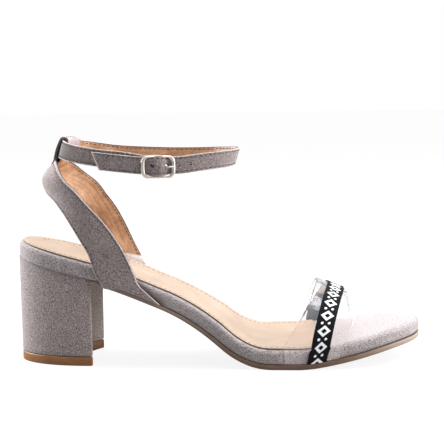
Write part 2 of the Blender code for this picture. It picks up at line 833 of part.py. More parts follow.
def build_buckle(collection, cutters):
    lap = STRAP_THICKNESS + GAP
    seat = STRAP_THICKNESS / 2 + GAP + WIRE / 2
    rear_out = lap + seat - REAR_SINK
    front_out = seat - FRAME_SINK
    half_length = (BUCKLE_LENGTH - WIRE) / 2
    half_height = STRAP_WIDTH / 2 + GAP + WIRE / 2
    corner = BUCKLE_CORNER

    def frame_out(along):
        return rear_out + (front_out - rear_out) * (along + half_length) / (2 * half_length)

    outline = []
    for centre_along, centre_up, first in ((1, 1, 0), (-1, 1, 1), (-1, -1, 2), (1, -1, 3)):
        for step in range(5):
            angle = math.pi / 2 * (first + step / 4)
            along = centre_along * (half_length - corner) + corner * math.cos(angle)
            up = centre_up * (half_height - corner) + corner * math.sin(angle)
            outline.append(buckle_point(along, frame_out(along), up))
    frame = wire("buckle_frame", outline, WIRE, collection, cyclic=True)

    rail = frame_out(0.0)
    bend = WIRE * 0.6
    bar_points = [(rail, -half_height), (bend, -half_height), (0.0, -half_height + bend),
                  (0.0, half_height - bend), (bend, half_height), (rail, half_height)]
    bar_points = [buckle_point(0.0, out, up) for out, up in bar_points]
    bar = wire("centre bar", bar_points, WIRE * BAR_SHARE, cutters)
    bar.hide_render = True
    bar.display_type = "WIRE"
    join = frame.modifiers.new("bar", "BOOLEAN")
    join.operation = "UNION"
    join.solver = "EXACT"
    join.object = bar
    finish(frame, "metal", "Buckle metal")

    over_bar = front_out + WIRE / 2 + GAP + PRONG_WIRE / 2
    start = WIRE / 2 + GAP + PRONG_WIRE / 2
    prong_points = [(start, PRONG_ROWS[0][1] * PRONG_WIRE)]
    for along, out in PRONG_ROWS:
        prong_points.append((PRONG_PLACE + along * PRONG_WIRE, out * PRONG_WIRE))
    for along, below in PRONG_TOP_ROWS:
        prong_points.append((PRONG_PLACE + along * PRONG_WIRE, over_bar - below * PRONG_WIRE))
    for past, below in PRONG_TIP_ROWS:
        prong_points.append((half_length + past * PRONG_WIRE, over_bar - below * PRONG_WIRE))
    prong = wire("buckle_prong", [buckle_point(along, out, 0.0) for along, out in prong_points],
                 PRONG_WIRE, collection)
    finish(prong, "metal", "Prong metal")


def main():
    clear_scene()
    sandal = new_collection("Block heel sandal")
    cutters = new_collection("Cutters")
    build_heel(sandal)
    build_sole(sandal)
    quarter = build_quarter(sandal)
    build_loop(quarter, cutters)
    build_ankle_strap(sandal, cutters)
    build_toe_band(sandal)
    build_buckle(sandal, cutters)


main()
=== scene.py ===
import math

import bmesh
import bpy
import numpy as np
from mathutils import Matrix


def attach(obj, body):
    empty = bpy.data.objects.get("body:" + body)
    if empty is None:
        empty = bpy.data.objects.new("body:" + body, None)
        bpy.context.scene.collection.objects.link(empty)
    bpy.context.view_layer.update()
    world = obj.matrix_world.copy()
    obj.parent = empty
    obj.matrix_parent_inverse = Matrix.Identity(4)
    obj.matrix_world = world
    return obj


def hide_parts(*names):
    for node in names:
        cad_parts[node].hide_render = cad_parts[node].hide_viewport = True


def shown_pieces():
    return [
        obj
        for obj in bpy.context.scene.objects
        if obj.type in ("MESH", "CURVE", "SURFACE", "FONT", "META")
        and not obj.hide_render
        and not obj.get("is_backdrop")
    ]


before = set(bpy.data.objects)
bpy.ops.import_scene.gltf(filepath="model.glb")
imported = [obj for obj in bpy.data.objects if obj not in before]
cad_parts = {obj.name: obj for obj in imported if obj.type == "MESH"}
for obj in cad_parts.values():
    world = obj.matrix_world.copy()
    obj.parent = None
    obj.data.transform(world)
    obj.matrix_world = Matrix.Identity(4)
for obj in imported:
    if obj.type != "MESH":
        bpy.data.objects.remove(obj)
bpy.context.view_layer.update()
print("frame loaded:", sorted(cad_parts))


# the camera stands a little higher than the straps and looks slightly down on the shoe
view = dict(azimuth=2.30, pitch=6.83, roll=-0.014, distance=0.652, lens=92.68,
            target=(0.0940, 0.0, 0.0779))


def placeCamera():
    # the axis comes from azimuth and pitch, then the frame turns a little about it
    az, el, roll = math.radians(view["azimuth"]), math.radians(view["pitch"]), view["roll"]
    back = np.array([math.sin(az) * math.cos(el), -math.cos(az) * math.cos(el), math.sin(el)])
    right = np.array([math.cos(az), math.sin(az), 0.0])
    up = np.cross(back, right)
    rightTurned = math.cos(roll) * right + math.sin(roll) * up
    upTurned = math.cos(roll) * up - math.sin(roll) * right
    eye = np.array(view["target"]) + back * view["distance"]
    rows = np.eye(4)
    rows[:3, 0], rows[:3, 1], rows[:3, 2], rows[:3, 3] = rightTurned, upTurned, back, eye
    data = bpy.data.cameras.new("camera")
    data.lens, data.sensor_width, data.clip_start = view["lens"], 36.0, 0.01
    camera = bpy.data.objects.new("camera", data)
    bpy.context.scene.collection.objects.link(camera)
    camera.matrix_world = Matrix(rows.tolist())
    bpy.context.scene.camera = camera


placeCamera()
print("camera placed")


def hermiteAt(at, knots, values, slopes):
    # curve through rows of numbers, for whole arrays at once: between two knots a cubic that keeps
    # their values and slopes, and outside them a level line
    at = np.clip(np.asarray(at, dtype=float), knots[0], knots[-1])
    cell = np.clip(np.searchsorted(knots, at, side="right") - 1, 0, len(knots) - 2)
    span = knots[cell + 1] - knots[cell]
    t = (at - knots[cell]) / span
    start = (1 - 3 * t ** 2 + 2 * t ** 3) * values[cell] + t * (1 - t) ** 2 * span * slopes[cell]
    end = (3 * t ** 2 - 2 * t ** 3) * values[cell + 1]
    return start + end + t * t * (t - 1) * span * slopes[cell + 1]


def smoothAt(at, knots, values):
    # the same cubic, each slope taken from the knot's neighbours
    return hermiteAt(at, knots, values, np.gradient(values, knots))


def easeIn(t):
    # 0 to 1 with level ends: three t squared less two t cubed
    t = np.clip(t, 0.0, 1.0)
    return t * t * (3 - 2 * t)


def unit(v):
    return v / np.maximum(np.linalg.norm(v, axis=-1, keepdims=True), 1e-12)


def runLength(line):
    # length from a line's first point to each of its points
    return np.concatenate([[0], np.cumsum(np.linalg.norm(np.diff(line, axis=0), axis=1))])


def alongRun(at, run, values):
    # rows of values read at given lengths, in straight steps
    return np.stack([np.interp(at, run, values[:, k]) for k in range(values.shape[1])], 1)


# the sole: its sizes in metres, and its curves as shares of them
sole = dict(
    length=0.2292, ballWidth=0.079, seatDrop=0.0577, toeSpring=0.0118,
    board=0.0077, seat=0.0087, rounding=0.0022, outsole=0.0028, outsoleWaist=0.0021,
    waistEnd=0.40, inset=0.0003, sock=0.0008, sockMargin=0.0027, sockFront=0.74, sockStitch=0.0030,
    overhang=0.0225, edge=0.0006, gap=0.0003, seams=(0.1277, 0.1411),
    # towards the toe the rim's rounding grows by this share, from one place over a stretch
    softToe=1.3, softFrom=0.745, softOver=0.10,
    # the wrap's seams: half width of the groove, and its depth as a share of the width there
    seamWidth=0.00042, seamDepth=0.016,
    # along, height, slope: from the heel seat down to the ball, as shares of length and drop
    drop=np.array([(0.000, 1.0000, -1.017), (0.203, 0.7936, -1.017), (0.360, 0.558, -1.67),
                   (0.513, 0.175, -3.20), (0.626, 0.000, 0.00)]),
    # along, height, slope: from the ball up to the tip
    spring=np.array([(0.690, 0.00, 0.0), (0.796, 0.27, 3.6), (0.900, 0.70, 4.2),
                     (1.000, 1.00, 2.1)]),
    # along, outer side, inner side: the plan, as shares of length and ball width
    plan=np.array([
        (0.000, 0.000, 0.000), (0.012, 0.148, 0.146), (0.045, 0.260, 0.258),
        (0.100, 0.328, 0.323), (0.170, 0.351, 0.341), (0.270, 0.356, 0.321),
        (0.360, 0.350, 0.300), (0.450, 0.360, 0.330), (0.535, 0.405, 0.440),
        (0.600, 0.435, 0.520), (0.665, 0.449, 0.551), (0.745, 0.445, 0.545),
        (0.820, 0.415, 0.490), (0.885, 0.355, 0.405), (0.940, 0.262, 0.305),
        (0.980, 0.140, 0.195), (1.000, -0.077, 0.077)]))


def placeAlong(share):
    return np.asarray(share, dtype=float) * sole["length"] - sole["overhang"]


def shareOf(x):
    return (np.asarray(x, dtype=float) + sole["overhang"]) / sole["length"]


def featherLine(x):
    # height of the board's underside at x, and how much a thickness grows when it stands upright
    def height(share):
        down = hermiteAt(share, *sole["drop"].T)
        lift = hermiteAt(share, *sole["spring"].T)
        return sole["outsole"] + sole["gap"] + sole["seatDrop"] * down + sole["toeSpring"] * lift

    share, step = shareOf(x), 0.001
    slope = (height(share + step / 2) - height(share - step / 2)) / (step * sole["length"])
    flat = (share >= sole["drop"][-1, 0]) & (share <= sole["spring"][0, 0])
    return height(share), np.where(flat, 1.0, np.sqrt(1 + slope ** 2))


def layerHeight(x, depth):
    height, upright = featherLine(x)
    return height + depth * upright


def boardDepth(x):
    # the board grows thicker from the waist back to the heel seat
    seated = 1 - easeIn(shareOf(x) / sole["waistEnd"])
    return sole["board"] + (sole["seat"] - sole["board"]) * seated


def boardTop(x):
    return layerHeight(x, boardDepth(x))


def sideWidth(share, side):
    # from the middle line to the board's edge; side 1 is the outer one and 2 the inner one
    turn = np.arccos(1 - 2 * np.clip(share, 0, 1))
    knots = np.arccos(1 - 2 * sole["plan"][:, 0])
    return sole["ballWidth"] * smoothAt(turn, knots, sole["plan"][:, side])


def soleShares(count, first=0.0, last=1.0):
    # shares of the length, closer together at both ends
    whole = (1 - np.cos(np.linspace(0, math.pi, count))) / 2
    inside = whole[(whole > first + 0.3 / count) & (whole < last - 0.3 / count)]
    return np.concatenate([[first], inside, [last]])


def sidePoints(shares, side, inset):
    # outline of one side, moved in by the inset along its own normal
    sign = -1.0 if side == 1 else 1.0
    turn, step = np.arccos(1 - 2 * shares), 0.004
    before = (1 - np.cos(np.clip(turn - step, 0, math.pi))) / 2
    after = (1 - np.cos(np.clip(turn + step, 0, math.pi))) / 2
    along = placeAlong(after) - placeAlong(before)
    across = sign * (sideWidth(after, side) - sideWidth(before, side))
    normal = unit(np.stack([across, -along], 1)) * sign
    points = np.stack([placeAlong(shares), sign * sideWidth(shares, side)], 1)
    ends = (shares <= 1e-9) | (shares >= 1 - 1e-9)
    toEnd = np.where(shares < 0.5, 1.0, -1.0)
    normal[ends] = np.stack([toEnd, np.zeros_like(toEnd)], 1)[ends]
    return points + normal * inset


def gridUv(points):
    # metres run along each of the grid's two directions, from its first row and column
    down = np.linalg.norm(np.diff(points, axis=0), axis=2)
    over = np.linalg.norm(np.diff(points, axis=1), axis=2)
    u = np.concatenate([np.zeros((1, points.shape[1])), np.cumsum(down, axis=0)])
    v = np.concatenate([np.zeros((points.shape[0], 1)), np.cumsum(over, axis=1)], axis=1)
    return np.stack([u, v], 2)


def patch(points, slot=0, uv=None):
    # one grid of points; slot is a number or one for each column of cells, and all cells are kept
    rows, columns = points.shape[:2]
    slots = np.broadcast_to(np.asarray(slot), (rows - 1, columns - 1))
    return dict(points=points, uv=gridUv(points) if uv is None else uv, slots=slots,
                keep=np.ones((rows - 1, columns - 1), bool))


def meshFrom(name, patches, materials, sharp=35):
    # all the grids as one mesh: shared rims are merged, and the whole is turned to face outwards
    verts, quads, uvs, slots, base = [], [], [], [], 0
    for p in patches:
        rows, columns = p["points"].shape[:2]
        index = np.arange(rows * columns).reshape(rows, columns) + base
        cells = np.stack([index[:-1, :-1], index[:-1, 1:], index[1:, 1:], index[1:, :-1]], 2)
        cells = cells[p["keep"]]
        verts.append(p["points"].reshape(-1, 3))
        quads.append(cells)
        uvs.append(p["uv"].reshape(-1, 2)[cells - base])
        slots.append(p["slots"][p["keep"]])
        base += rows * columns
    verts, quads = np.concatenate(verts), np.concatenate(quads)
    mesh = bpy.data.meshes.new(name)
    mesh.vertices.add(len(verts))
    mesh.vertices.foreach_set("co", verts.astype(np.float32).ravel())
    mesh.loops.add(quads.size)
    mesh.loops.foreach_set("vertex_index", quads.astype(np.int32).ravel())
    mesh.polygons.add(len(quads))
    mesh.polygons.foreach_set("loop_start", np.arange(0, quads.size, 4, dtype=np.int32))
    mesh.polygons.foreach_set("material_index", np.concatenate(slots).astype(np.int32))
    layer = mesh.uv_layers.new(name="UVMap")
    layer.uv.foreach_set("vector", np.concatenate(uvs).astype(np.float32).ravel())
    mesh.update(calc_edges=True)
    bm = bmesh.new()
    bm.from_mesh(mesh)
    bmesh.ops.remove_doubles(bm, verts=bm.verts, dist=2e-6)
    bmesh.ops.dissolve_degenerate(bm, edges=bm.edges, dist=1e-7)
    loose = [v for v in bm.verts if not v.link_faces]
    bmesh.ops.delete(bm, geom=loose, context="VERTS")
    bmesh.ops.recalc_face_normals(bm, faces=bm.faces)
    bm.to_mesh(mesh)
    bm.free()
    mesh.shade_smooth()
    mesh.set_sharp_from_angle(angle=math.radians(sharp))
    for material in materials:
        mesh.materials.append(material)
    piece = bpy.data.objects.new(name, mesh)
    bpy.context.scene.collection.objects.link(piece)
    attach(piece, "root")
    return piece


def addNode(tree, kind, **values):
    made = tree.nodes.new(kind)
    for name, value in values.items():
        setattr(made, name, value)
    return made


def joinTo(tree, source, target):
    # a socket is linked, and a plain number or colour is set
    if isinstance(source, bpy.types.NodeSocket):
        tree.links.new(source, target)
    else:
        target.default_value = source


def calc(tree, operation, a, b=0.0, c=None, clamp=False):
    made = addNode(tree, "ShaderNodeMath", operation=operation, use_clamp=clamp)
    for source, target in zip((a, b, c), made.inputs):
        if source is not None:
            joinTo(tree, source, target)
    return made.outputs[0]


def addSpread(tree, base, layer, weight, clamp=False):
    # a noise's departure from its mean of a half, times a weight, on top of the base
    return calc(tree, "MULTIPLY_ADD", calc(tree, "SUBTRACT", layer, 0.5), weight, base, clamp)


def mixColour(tree, factor, a, b):
    made = addNode(tree, "ShaderNodeMix", data_type="RGBA")
    joinTo(tree, factor, made.inputs["Factor"])
    joinTo(tree, a, made.inputs[6])
    joinTo(tree, b, made.inputs[7])
    return made.outputs[2]


def mixShaders(tree, factor, a, b):
    made = addNode(tree, "ShaderNodeMixShader")
    for source, target in zip((factor, a, b), made.inputs):
        joinTo(tree, source, target)
    return made.outputs[0]


def noiseAt(tree, vector, scale, detail=2.0, rough=0.5, twist=0.0):
    made = addNode(tree, "ShaderNodeTexNoise")
    joinTo(tree, vector, made.inputs["Vector"])
    joinTo(tree, scale, made.inputs["Scale"])
    made.inputs["Detail"].default_value = detail
    made.inputs["Roughness"].default_value = rough
    made.inputs["Distortion"].default_value = twist
    return made.outputs["Fac"]


def stretched(tree, vector, scale):
    # the vector times a scale for each axis
    made = addNode(tree, "ShaderNodeMapping")
    made.inputs["Scale"].default_value = scale
    joinTo(tree, vector, made.inputs["Vector"])
    return made.outputs["Vector"]


def axesOf(tree, vector):
    made = addNode(tree, "ShaderNodeSeparateXYZ")
    joinTo(tree, vector, made.inputs[0])
    return made.outputs


def surfaceGroup(name, numbers):
    # a node group: position, two colours and some numbers in, colour, height and roughness out
    group = bpy.data.node_groups.new(name, "ShaderNodeTree")
    sockets = group.interface
    for label, kind in (("Position", "Vector"), ("Deep", "Color"), ("Pale", "Color")):
        sockets.new_socket(label, in_out="INPUT", socket_type="NodeSocket" + kind)
    for label, value in numbers.items():
        made = sockets.new_socket(label, in_out="INPUT", socket_type="NodeSocketFloat")
        made.default_value = value
    for label, kind in (("Colour", "Color"), ("Height", "Float"), ("Rough", "Float")):
        sockets.new_socket(label, in_out="OUTPUT", socket_type="NodeSocket" + kind)
    given = group.nodes.new("NodeGroupInput").outputs
    out = group.nodes.new("NodeGroupOutput").inputs
    return group, given, out


def napGroup():
    # brushed suede: fine fibres, small clumps and broad patches where the nap lies another way
    group, given, out = surfaceGroup(
        "suedeNap", {"Grain Size": 2300.0, "Patch Size": 60.0, "Contrast": 1.0})
    place, size = given["Position"], given["Grain Size"]
    fibre = noiseAt(group, place, calc(group, "MULTIPLY", size, 2.2), 2.0, 0.6)
    grain = noiseAt(group, place, size, 2.0, 0.55)
    clump = noiseAt(group, place, calc(group, "MULTIPLY", size, 0.35), 2.0, 0.5)
    broad = noiseAt(group, place, given["Patch Size"], 4.0, 0.55, 0.6)
    spread = 0.0
    for layer, weight in ((fibre, 1.6), (grain, 6.0), (clump, 0.20), (broad, 0.32)):
        spread = addSpread(group, spread, layer, weight)
    level = calc(group, "MULTIPLY_ADD", spread, given["Contrast"], 0.5, clamp=True)
    joinTo(group, mixColour(group, level, given["Deep"], given["Pale"]), out["Colour"])
    height = calc(group, "MULTIPLY_ADD", grain, 0.45, calc(group, "MULTIPLY", fibre, 0.35))
    joinTo(group, calc(group, "MULTIPLY_ADD", clump, 0.2, height), out["Height"])
    joinTo(group, calc(group, "MULTIPLY_ADD", broad, 0.16, 0.78), out["Rough"])
    return group


def skinGroup():
    # smooth leather: small pebbles with creases between them, and clouds of tone
    group, given, out = surfaceGroup("leatherSkin", {"Pebble Size": 1100.0, "Cloud Size": 90.0})
    place, size = given["Position"], given["Pebble Size"]
    cells = addNode(group, "ShaderNodeTexVoronoi", feature="DISTANCE_TO_EDGE")
    joinTo(group, place, cells.inputs["Vector"])
    joinTo(group, size, cells.inputs["Scale"])
    pebble = calc(group, "MULTIPLY", cells.outputs["Distance"], 3.0, clamp=True)
    cloud = noiseAt(group, place, given["Cloud Size"], 4.0, 0.6, 0.4)
    speck = noiseAt(group, place, calc(group, "MULTIPLY", size, 1.3), 1.0)
    level = addSpread(group, addSpread(group, 0.5, cloud, 2.2), speck, 0.7, clamp=True)
    joinTo(group, mixColour(group, level, given["Deep"], given["Pale"]), out["Colour"])
    joinTo(group, calc(group, "MULTIPLY_ADD", cloud, 0.4, pebble), out["Height"])
    joinTo(group, calc(group, "MULTIPLY_ADD", cloud, 0.25, 0.38), out["Rough"])
    return group


suedeNap, leatherSkin = napGroup(), skinGroup()


def newMaterial(name, sockets):
    # a Principled material; every value given here is the same all over the piece
    material = bpy.data.materials.new(name)
    material.use_nodes = True
    tree = material.node_tree
    shader = tree.nodes["Principled BSDF"]
    for label, value in sockets.items():
        shader.inputs[label].default_value = value
    position = addNode(tree, "ShaderNodeTexCoord").outputs["Object"]
    return material, tree, shader, position


def placeGroup(tree, group, values):
    made = addNode(tree, "ShaderNodeGroup", node_tree=group)
    for label, value in values.items():
        joinTo(tree, value, made.inputs[label])
    return made.outputs


def bumpFrom(tree, shader, height, strength, distance):
    made = addNode(tree, "ShaderNodeBump")
    made.inputs["Strength"].default_value = strength
    made.inputs["Distance"].default_value = distance
    joinTo(tree, height, made.inputs["Height"])
    tree.links.new(made.outputs["Normal"], shader.inputs["Normal"])


# tones that lie over a material's own two where the mesh or place asks: painted shade, pull lines,
# waist, toe
tones = dict(paintedShadeTone=(0.030, 0.020, 0.019, 1), pullLine=(0.16, 0.060, 0.024, 1),
             waist=(0.23, 0.172, 0.135, 1), toe=(0.40, 0.320, 0.265, 1))


def suede(name, deep, pale, contrast=0.9, grain=2300.0, patchSize=60.0, sheen=0.5, bump=0.55,
          paintedShade=False):
    # brushed nap with a soft sheen
    material, tree, shader, position = newMaterial(
        name, {"Sheen Weight": sheen, "Sheen Roughness": 0.45,
               "Sheen Tint": (1.0, 0.96, 0.97, 1.0), "Specular IOR Level": 0.15})
    nap = placeGroup(tree, suedeNap, {
        "Position": position, "Deep": (*deep, 1), "Pale": (*pale, 1), "Grain Size": grain,
        "Patch Size": patchSize, "Contrast": contrast})
    colour = nap["Colour"]
    if paintedShade:
        # painted shade: the nap is darkened where the mesh's attribute asks for shade beside other
        # parts
        flat = addNode(tree, "ShaderNodeAttribute", attribute_name="paintedShade").outputs["Fac"]
        colour = mixColour(tree, flat, colour, tones["paintedShadeTone"])
    joinTo(tree, colour, shader.inputs["Base Color"])
    joinTo(tree, nap["Rough"], shader.inputs["Roughness"])
    bumpFrom(tree, shader, nap["Height"], bump, 0.0006)
    return material


def leather(name, deep, pale, pebble, cloud, bump, pulled=0.0):
    # smooth leather, with pull lines where it is drawn tight along a strap
    material, tree, shader, position = newMaterial(name, {"Specular IOR Level": 0.35})
    skin = placeGroup(tree, leatherSkin, {
        "Position": position, "Deep": (*deep, 1), "Pale": (*pale, 1), "Pebble Size": pebble,
        "Cloud Size": cloud})
    colour, height = skin["Colour"], skin["Height"]
    if pulled > 0:
        # noise that is long in u, which runs along the strap, and short in v
        uv = addNode(tree, "ShaderNodeUVMap", uv_map="UVMap").outputs["UV"]
        line = noiseAt(tree, stretched(tree, uv, (70.0, 620.0, 1.0)), 1.0, 3.0, 0.55)
        dark = calc(tree, "MULTIPLY_ADD", line, -4.0, 2.15, clamp=True)
        colour = mixColour(tree, calc(tree, "MULTIPLY", dark, pulled), colour, tones["pullLine"])
        height = calc(tree, "MULTIPLY_ADD", line, 2.5, height)
    joinTo(tree, colour, shader.inputs["Base Color"])
    joinTo(tree, skin["Rough"], shader.inputs["Roughness"])
    bumpFrom(tree, shader, height, bump, 0.0003)
    return material


def thread(name, deep, pale):
    # twisted thread: fine slanting ridges
    material, tree, shader, position = newMaterial(
        name, {"Roughness": 0.75, "Specular IOR Level": 0.3})
    ply = addNode(tree, "ShaderNodeTexWave", bands_direction="DIAGONAL")
    joinTo(tree, position, ply.inputs["Vector"])
    ply.inputs["Scale"].default_value = 900.0
    ply.inputs["Distortion"].default_value = 1.0
    colour = mixColour(tree, ply.outputs["Fac"], (*deep, 1), (*pale, 1))
    joinTo(tree, colour, shader.inputs["Base Color"])
    bumpFrom(tree, shader, ply.outputs["Fac"], 0.6, 0.0001)
    return material


def rubber(name, deep, pale, rough, paleEnds=False):
    # moulded sole: faint scuffs along the shoe over a mottled tone
    material, tree, shader, position = newMaterial(name, {"Specular IOR Level": 0.4})
    scuff = noiseAt(tree, stretched(tree, position, (0.12, 1.0, 2.5)), 900.0, 3.0, 0.6)
    tone = noiseAt(tree, position, 120.0, 4.0, 0.6)
    colour = mixColour(tree, addSpread(tree, tone, scuff, 1.6, clamp=True), (*deep, 1), (*pale, 1))
    if paleEnds:
        # the waist and the toe are paler than the ball
        x = axesOf(tree, position)[0]
        back = calc(tree, "MULTIPLY_ADD", x, -22.0, 2.3, clamp=True)
        front = calc(tree, "MULTIPLY_ADD", x, 18.0, -2.95, clamp=True)
        colour = mixColour(tree, back, colour, tones["waist"])
        colour = mixColour(tree, front, colour, tones["toe"])
    joinTo(tree, colour, shader.inputs["Base Color"])
    joinTo(tree, calc(tree, "MULTIPLY_ADD", scuff, 0.3, rough - 0.15), shader.inputs["Roughness"])
    bumpFrom(tree, shader, scuff, 0.35, 0.0002)
    return material


def cleared(name):
    # clear vinyl: thin, glossy and faintly rippled; lamps pass through it without a dark shadow
    material, tree, shader, position = newMaterial(
        name, {"Base Color": (0.965, 0.945, 0.94, 1.0), "Roughness": 0.04, "IOR": 1.46,
               "Transmission Weight": 1.0, "Metallic": 0.0})
    bumpFrom(tree, shader, noiseAt(tree, position, 70.0, 2.0, 0.5, 0.5), 0.25, 0.002)
    passing = addNode(tree, "ShaderNodeBsdfTransparent").outputs[0]
    shadow = addNode(tree, "ShaderNodeLightPath").outputs["Is Shadow Ray"]
    both = mixShaders(tree, shadow, shader.outputs[0], passing)
    joinTo(tree, both, tree.nodes["Material Output"].inputs["Surface"])
    return material


# the woven pattern: lozenges and dots in metres, and the pitch of the weave's ribs both ways
ribbon = dict(pitch=0.0092, lozenge=(0.0033, 0.0037), core=0.44, dotPlace=0.0019, dot=0.00075,
              weave=(0.00042, 0.00055),
              black=((0.002, 0.002, 0.003, 1.0), (0.014, 0.013, 0.016, 1.0)),
              white=((0.66, 0.66, 0.68, 1.0), (0.92, 0.92, 0.93, 1.0)))


def ribbonFace(name):
    # woven band: a plain row of lozenges with pairs of dots between them, over fine cross ribs
    material, tree, shader, position = newMaterial(
        name, {"Roughness": 0.75, "Specular IOR Level": 0.06})
    along, over = axesOf(tree, addNode(tree, "ShaderNodeUVMap", uv_map="UVMap").outputs["UV"])[:2]
    wrapped = calc(tree, "PINGPONG", along, ribbon["pitch"] / 2)
    away = calc(tree, "ABSOLUTE", over)
    wide, tall = ribbon["lozenge"]
    off = calc(tree, "ADD", calc(tree, "DIVIDE", wrapped, wide), calc(tree, "DIVIDE", away, tall))
    ring = calc(tree, "MULTIPLY", calc(tree, "LESS_THAN", off, 1.0),
                calc(tree, "GREATER_THAN", off, ribbon["core"]))
    toJoin = calc(tree, "SUBTRACT", wrapped, ribbon["pitch"] / 2)
    toDot = calc(tree, "SUBTRACT", away, ribbon["dotPlace"])
    far = calc(tree, "MULTIPLY_ADD", toJoin, toJoin, calc(tree, "MULTIPLY", toDot, toDot))
    motif = calc(tree, "MAXIMUM", ring, calc(tree, "LESS_THAN", far, ribbon["dot"] ** 2))
    ribs, crossing = [calc(tree, "SINE", calc(tree, "MULTIPLY", run, 2 * math.pi / pitch))
                      for run, pitch in zip((along, over), ribbon["weave"])]
    weave = calc(tree, "MULTIPLY_ADD", ribs, 0.5, calc(tree, "MULTIPLY", crossing, 0.35))
    worn = noiseAt(tree, position, 2600.0, 2.0)
    dark, light = mixColour(tree, worn, *ribbon["black"]), mixColour(tree, worn, *ribbon["white"])
    joinTo(tree, mixColour(tree, motif, dark, light), shader.inputs["Base Color"])
    bumpFrom(tree, shader, calc(tree, "MULTIPLY_ADD", motif, 0.6, weave), 0.5, 0.00012)
    return material


# heights of the painted highlight band and of the pale crown, and how steeply each comes in
film = dict(middle=0.0222, fade=-260.0, reach=1.25, crown=0.02929, crownFade=420.0,
            dark=(0.17, 0.215, 0.26, 1.0), paintedHighlight=(0.68, 0.84, 1.0, 1.0),
            pale=(0.92, 0.88, 0.88, 1.0))


def silvered(name):
    # back of the ribbon: thin silvery film with a painted highlight in a crooked band, dark below
    # and above it, pale at the crown, with soft creases across it
    material, tree, shader, position = newMaterial(name, {"Metallic": 0.55})
    crease = noiseAt(tree, position, 260.0, 3.0, 0.55)
    height = axesOf(tree, position)[2]
    bent = addSpread(tree, height, crease, 0.012)
    off = calc(tree, "ABSOLUTE", calc(tree, "SUBTRACT", bent, film["middle"]))
    band = calc(tree, "MULTIPLY_ADD", off, film["fade"], film["reach"], clamp=True)
    above = calc(tree, "SUBTRACT", height, film["crown"])
    crown = calc(tree, "MULTIPLY", above, film["crownFade"], clamp=True)
    colour = mixColour(tree, band, film["dark"], film["paintedHighlight"])
    joinTo(tree, mixColour(tree, crown, colour, film["pale"]), shader.inputs["Base Color"])
    joinTo(tree, calc(tree, "MULTIPLY_ADD", crease, 0.25, 0.25), shader.inputs["Roughness"])
    bumpFrom(tree, shader, crease, 0.25, 0.0004)
    return material


def metal(name):
    # polished plating with fine wiping marks
    material, tree, shader, position = newMaterial(
        name, {"Base Color": (0.78, 0.72, 0.65, 1.0), "Metallic": 1.0})
    wiped = noiseAt(tree, position, 1800.0, 3.0, 0.6)
    joinTo(tree, calc(tree, "MULTIPLY_ADD", wiped, 0.16, 0.27), shader.inputs["Roughness"])
    bumpFrom(tree, shader, wiped, 0.05, 0.0002)
    return material


# two tones for each finish, then what differs from the usual; cut edges have a coarser nap
cutNap = dict(grain=1500.0, patchSize=150.0, bump=0.4)
strapSuede = suede("strapSuede", (0.090, 0.069, 0.067), (0.375, 0.318, 0.314), paintedShade=True)
soleSuede = suede("soleSuede", (0.118, 0.098, 0.098), (0.490, 0.436, 0.440), patchSize=45.0,
                  paintedShade=True)
heelSuede = suede("heelSuede", (0.108, 0.088, 0.086), (0.455, 0.388, 0.382), patchSize=38.0)
# a paler copy of the heel's suede: painted light on the breast
paintedLitBreast = suede("paintedLitBreast", (0.190, 0.148, 0.133), (0.72, 0.59, 0.54), patchSize=38.0)
cutEdge = suede("cutEdge", (0.34, 0.27, 0.26), (0.62, 0.53, 0.51), 0.8, sheen=0.3, **cutNap)
foldEdge = suede("foldEdge", (0.070, 0.054, 0.054), (0.190, 0.155, 0.155), 0.7, sheen=0.2,
                 **cutNap)
# near-black edge: partly the back's dark layer, partly painted shade; in the punched holes painted
# shade
darkEdge = suede("darkEdge", (0.040, 0.030, 0.030), (0.110, 0.086, 0.084), 0.7, sheen=0.1,
                 **cutNap)
leafSuede = suede("leafSuede", (0.34, 0.27, 0.27), (0.60, 0.50, 0.49), 0.8)
# near-white suede: the skived back, painted paler than it is as a painted highlight
paintedHighlightFoot = suede("paintedHighlightFoot", (0.78, 0.70, 0.69), (0.98, 0.94, 0.93), 0.8)
tanLining = leather("tanLining", (0.37, 0.190, 0.098), (0.76, 0.455, 0.278), 1000.0, 130.0, 0.30,
                    pulled=0.45)
sockFace = leather("sockFace", (0.31, 0.215, 0.152), (0.425, 0.328, 0.255), 1500.0, 55.0, 0.16)
sockEdge = leather("sockEdge", (0.120, 0.070, 0.048), (0.210, 0.130, 0.090), 2000.0, 200.0, 0.2)
outsoleBrown = rubber("outsoleBrown", (0.105, 0.060, 0.038), (0.215, 0.130, 0.090), 0.55,
                      paleEnds=True)
topPieceBrown = rubber("topPieceBrown", (0.220, 0.090, 0.030), (0.370, 0.165, 0.063), 0.45)
glueBrown = rubber("glueLine", (0.050, 0.034, 0.026), (0.090, 0.064, 0.050), 0.6)
clearVinyl = cleared("clearVinyl")
wovenRibbon = ribbonFace("wovenRibbon")
ribbonBack = silvered("ribbonBack")
plated = metal("plated")
darkThread = thread("darkThread", (0.030, 0.024, 0.026), (0.085, 0.068, 0.072))
sockThread = thread("sockThread", (0.20, 0.115, 0.072), (0.32, 0.20, 0.14))
print("materials made:", len(bpy.data.materials))


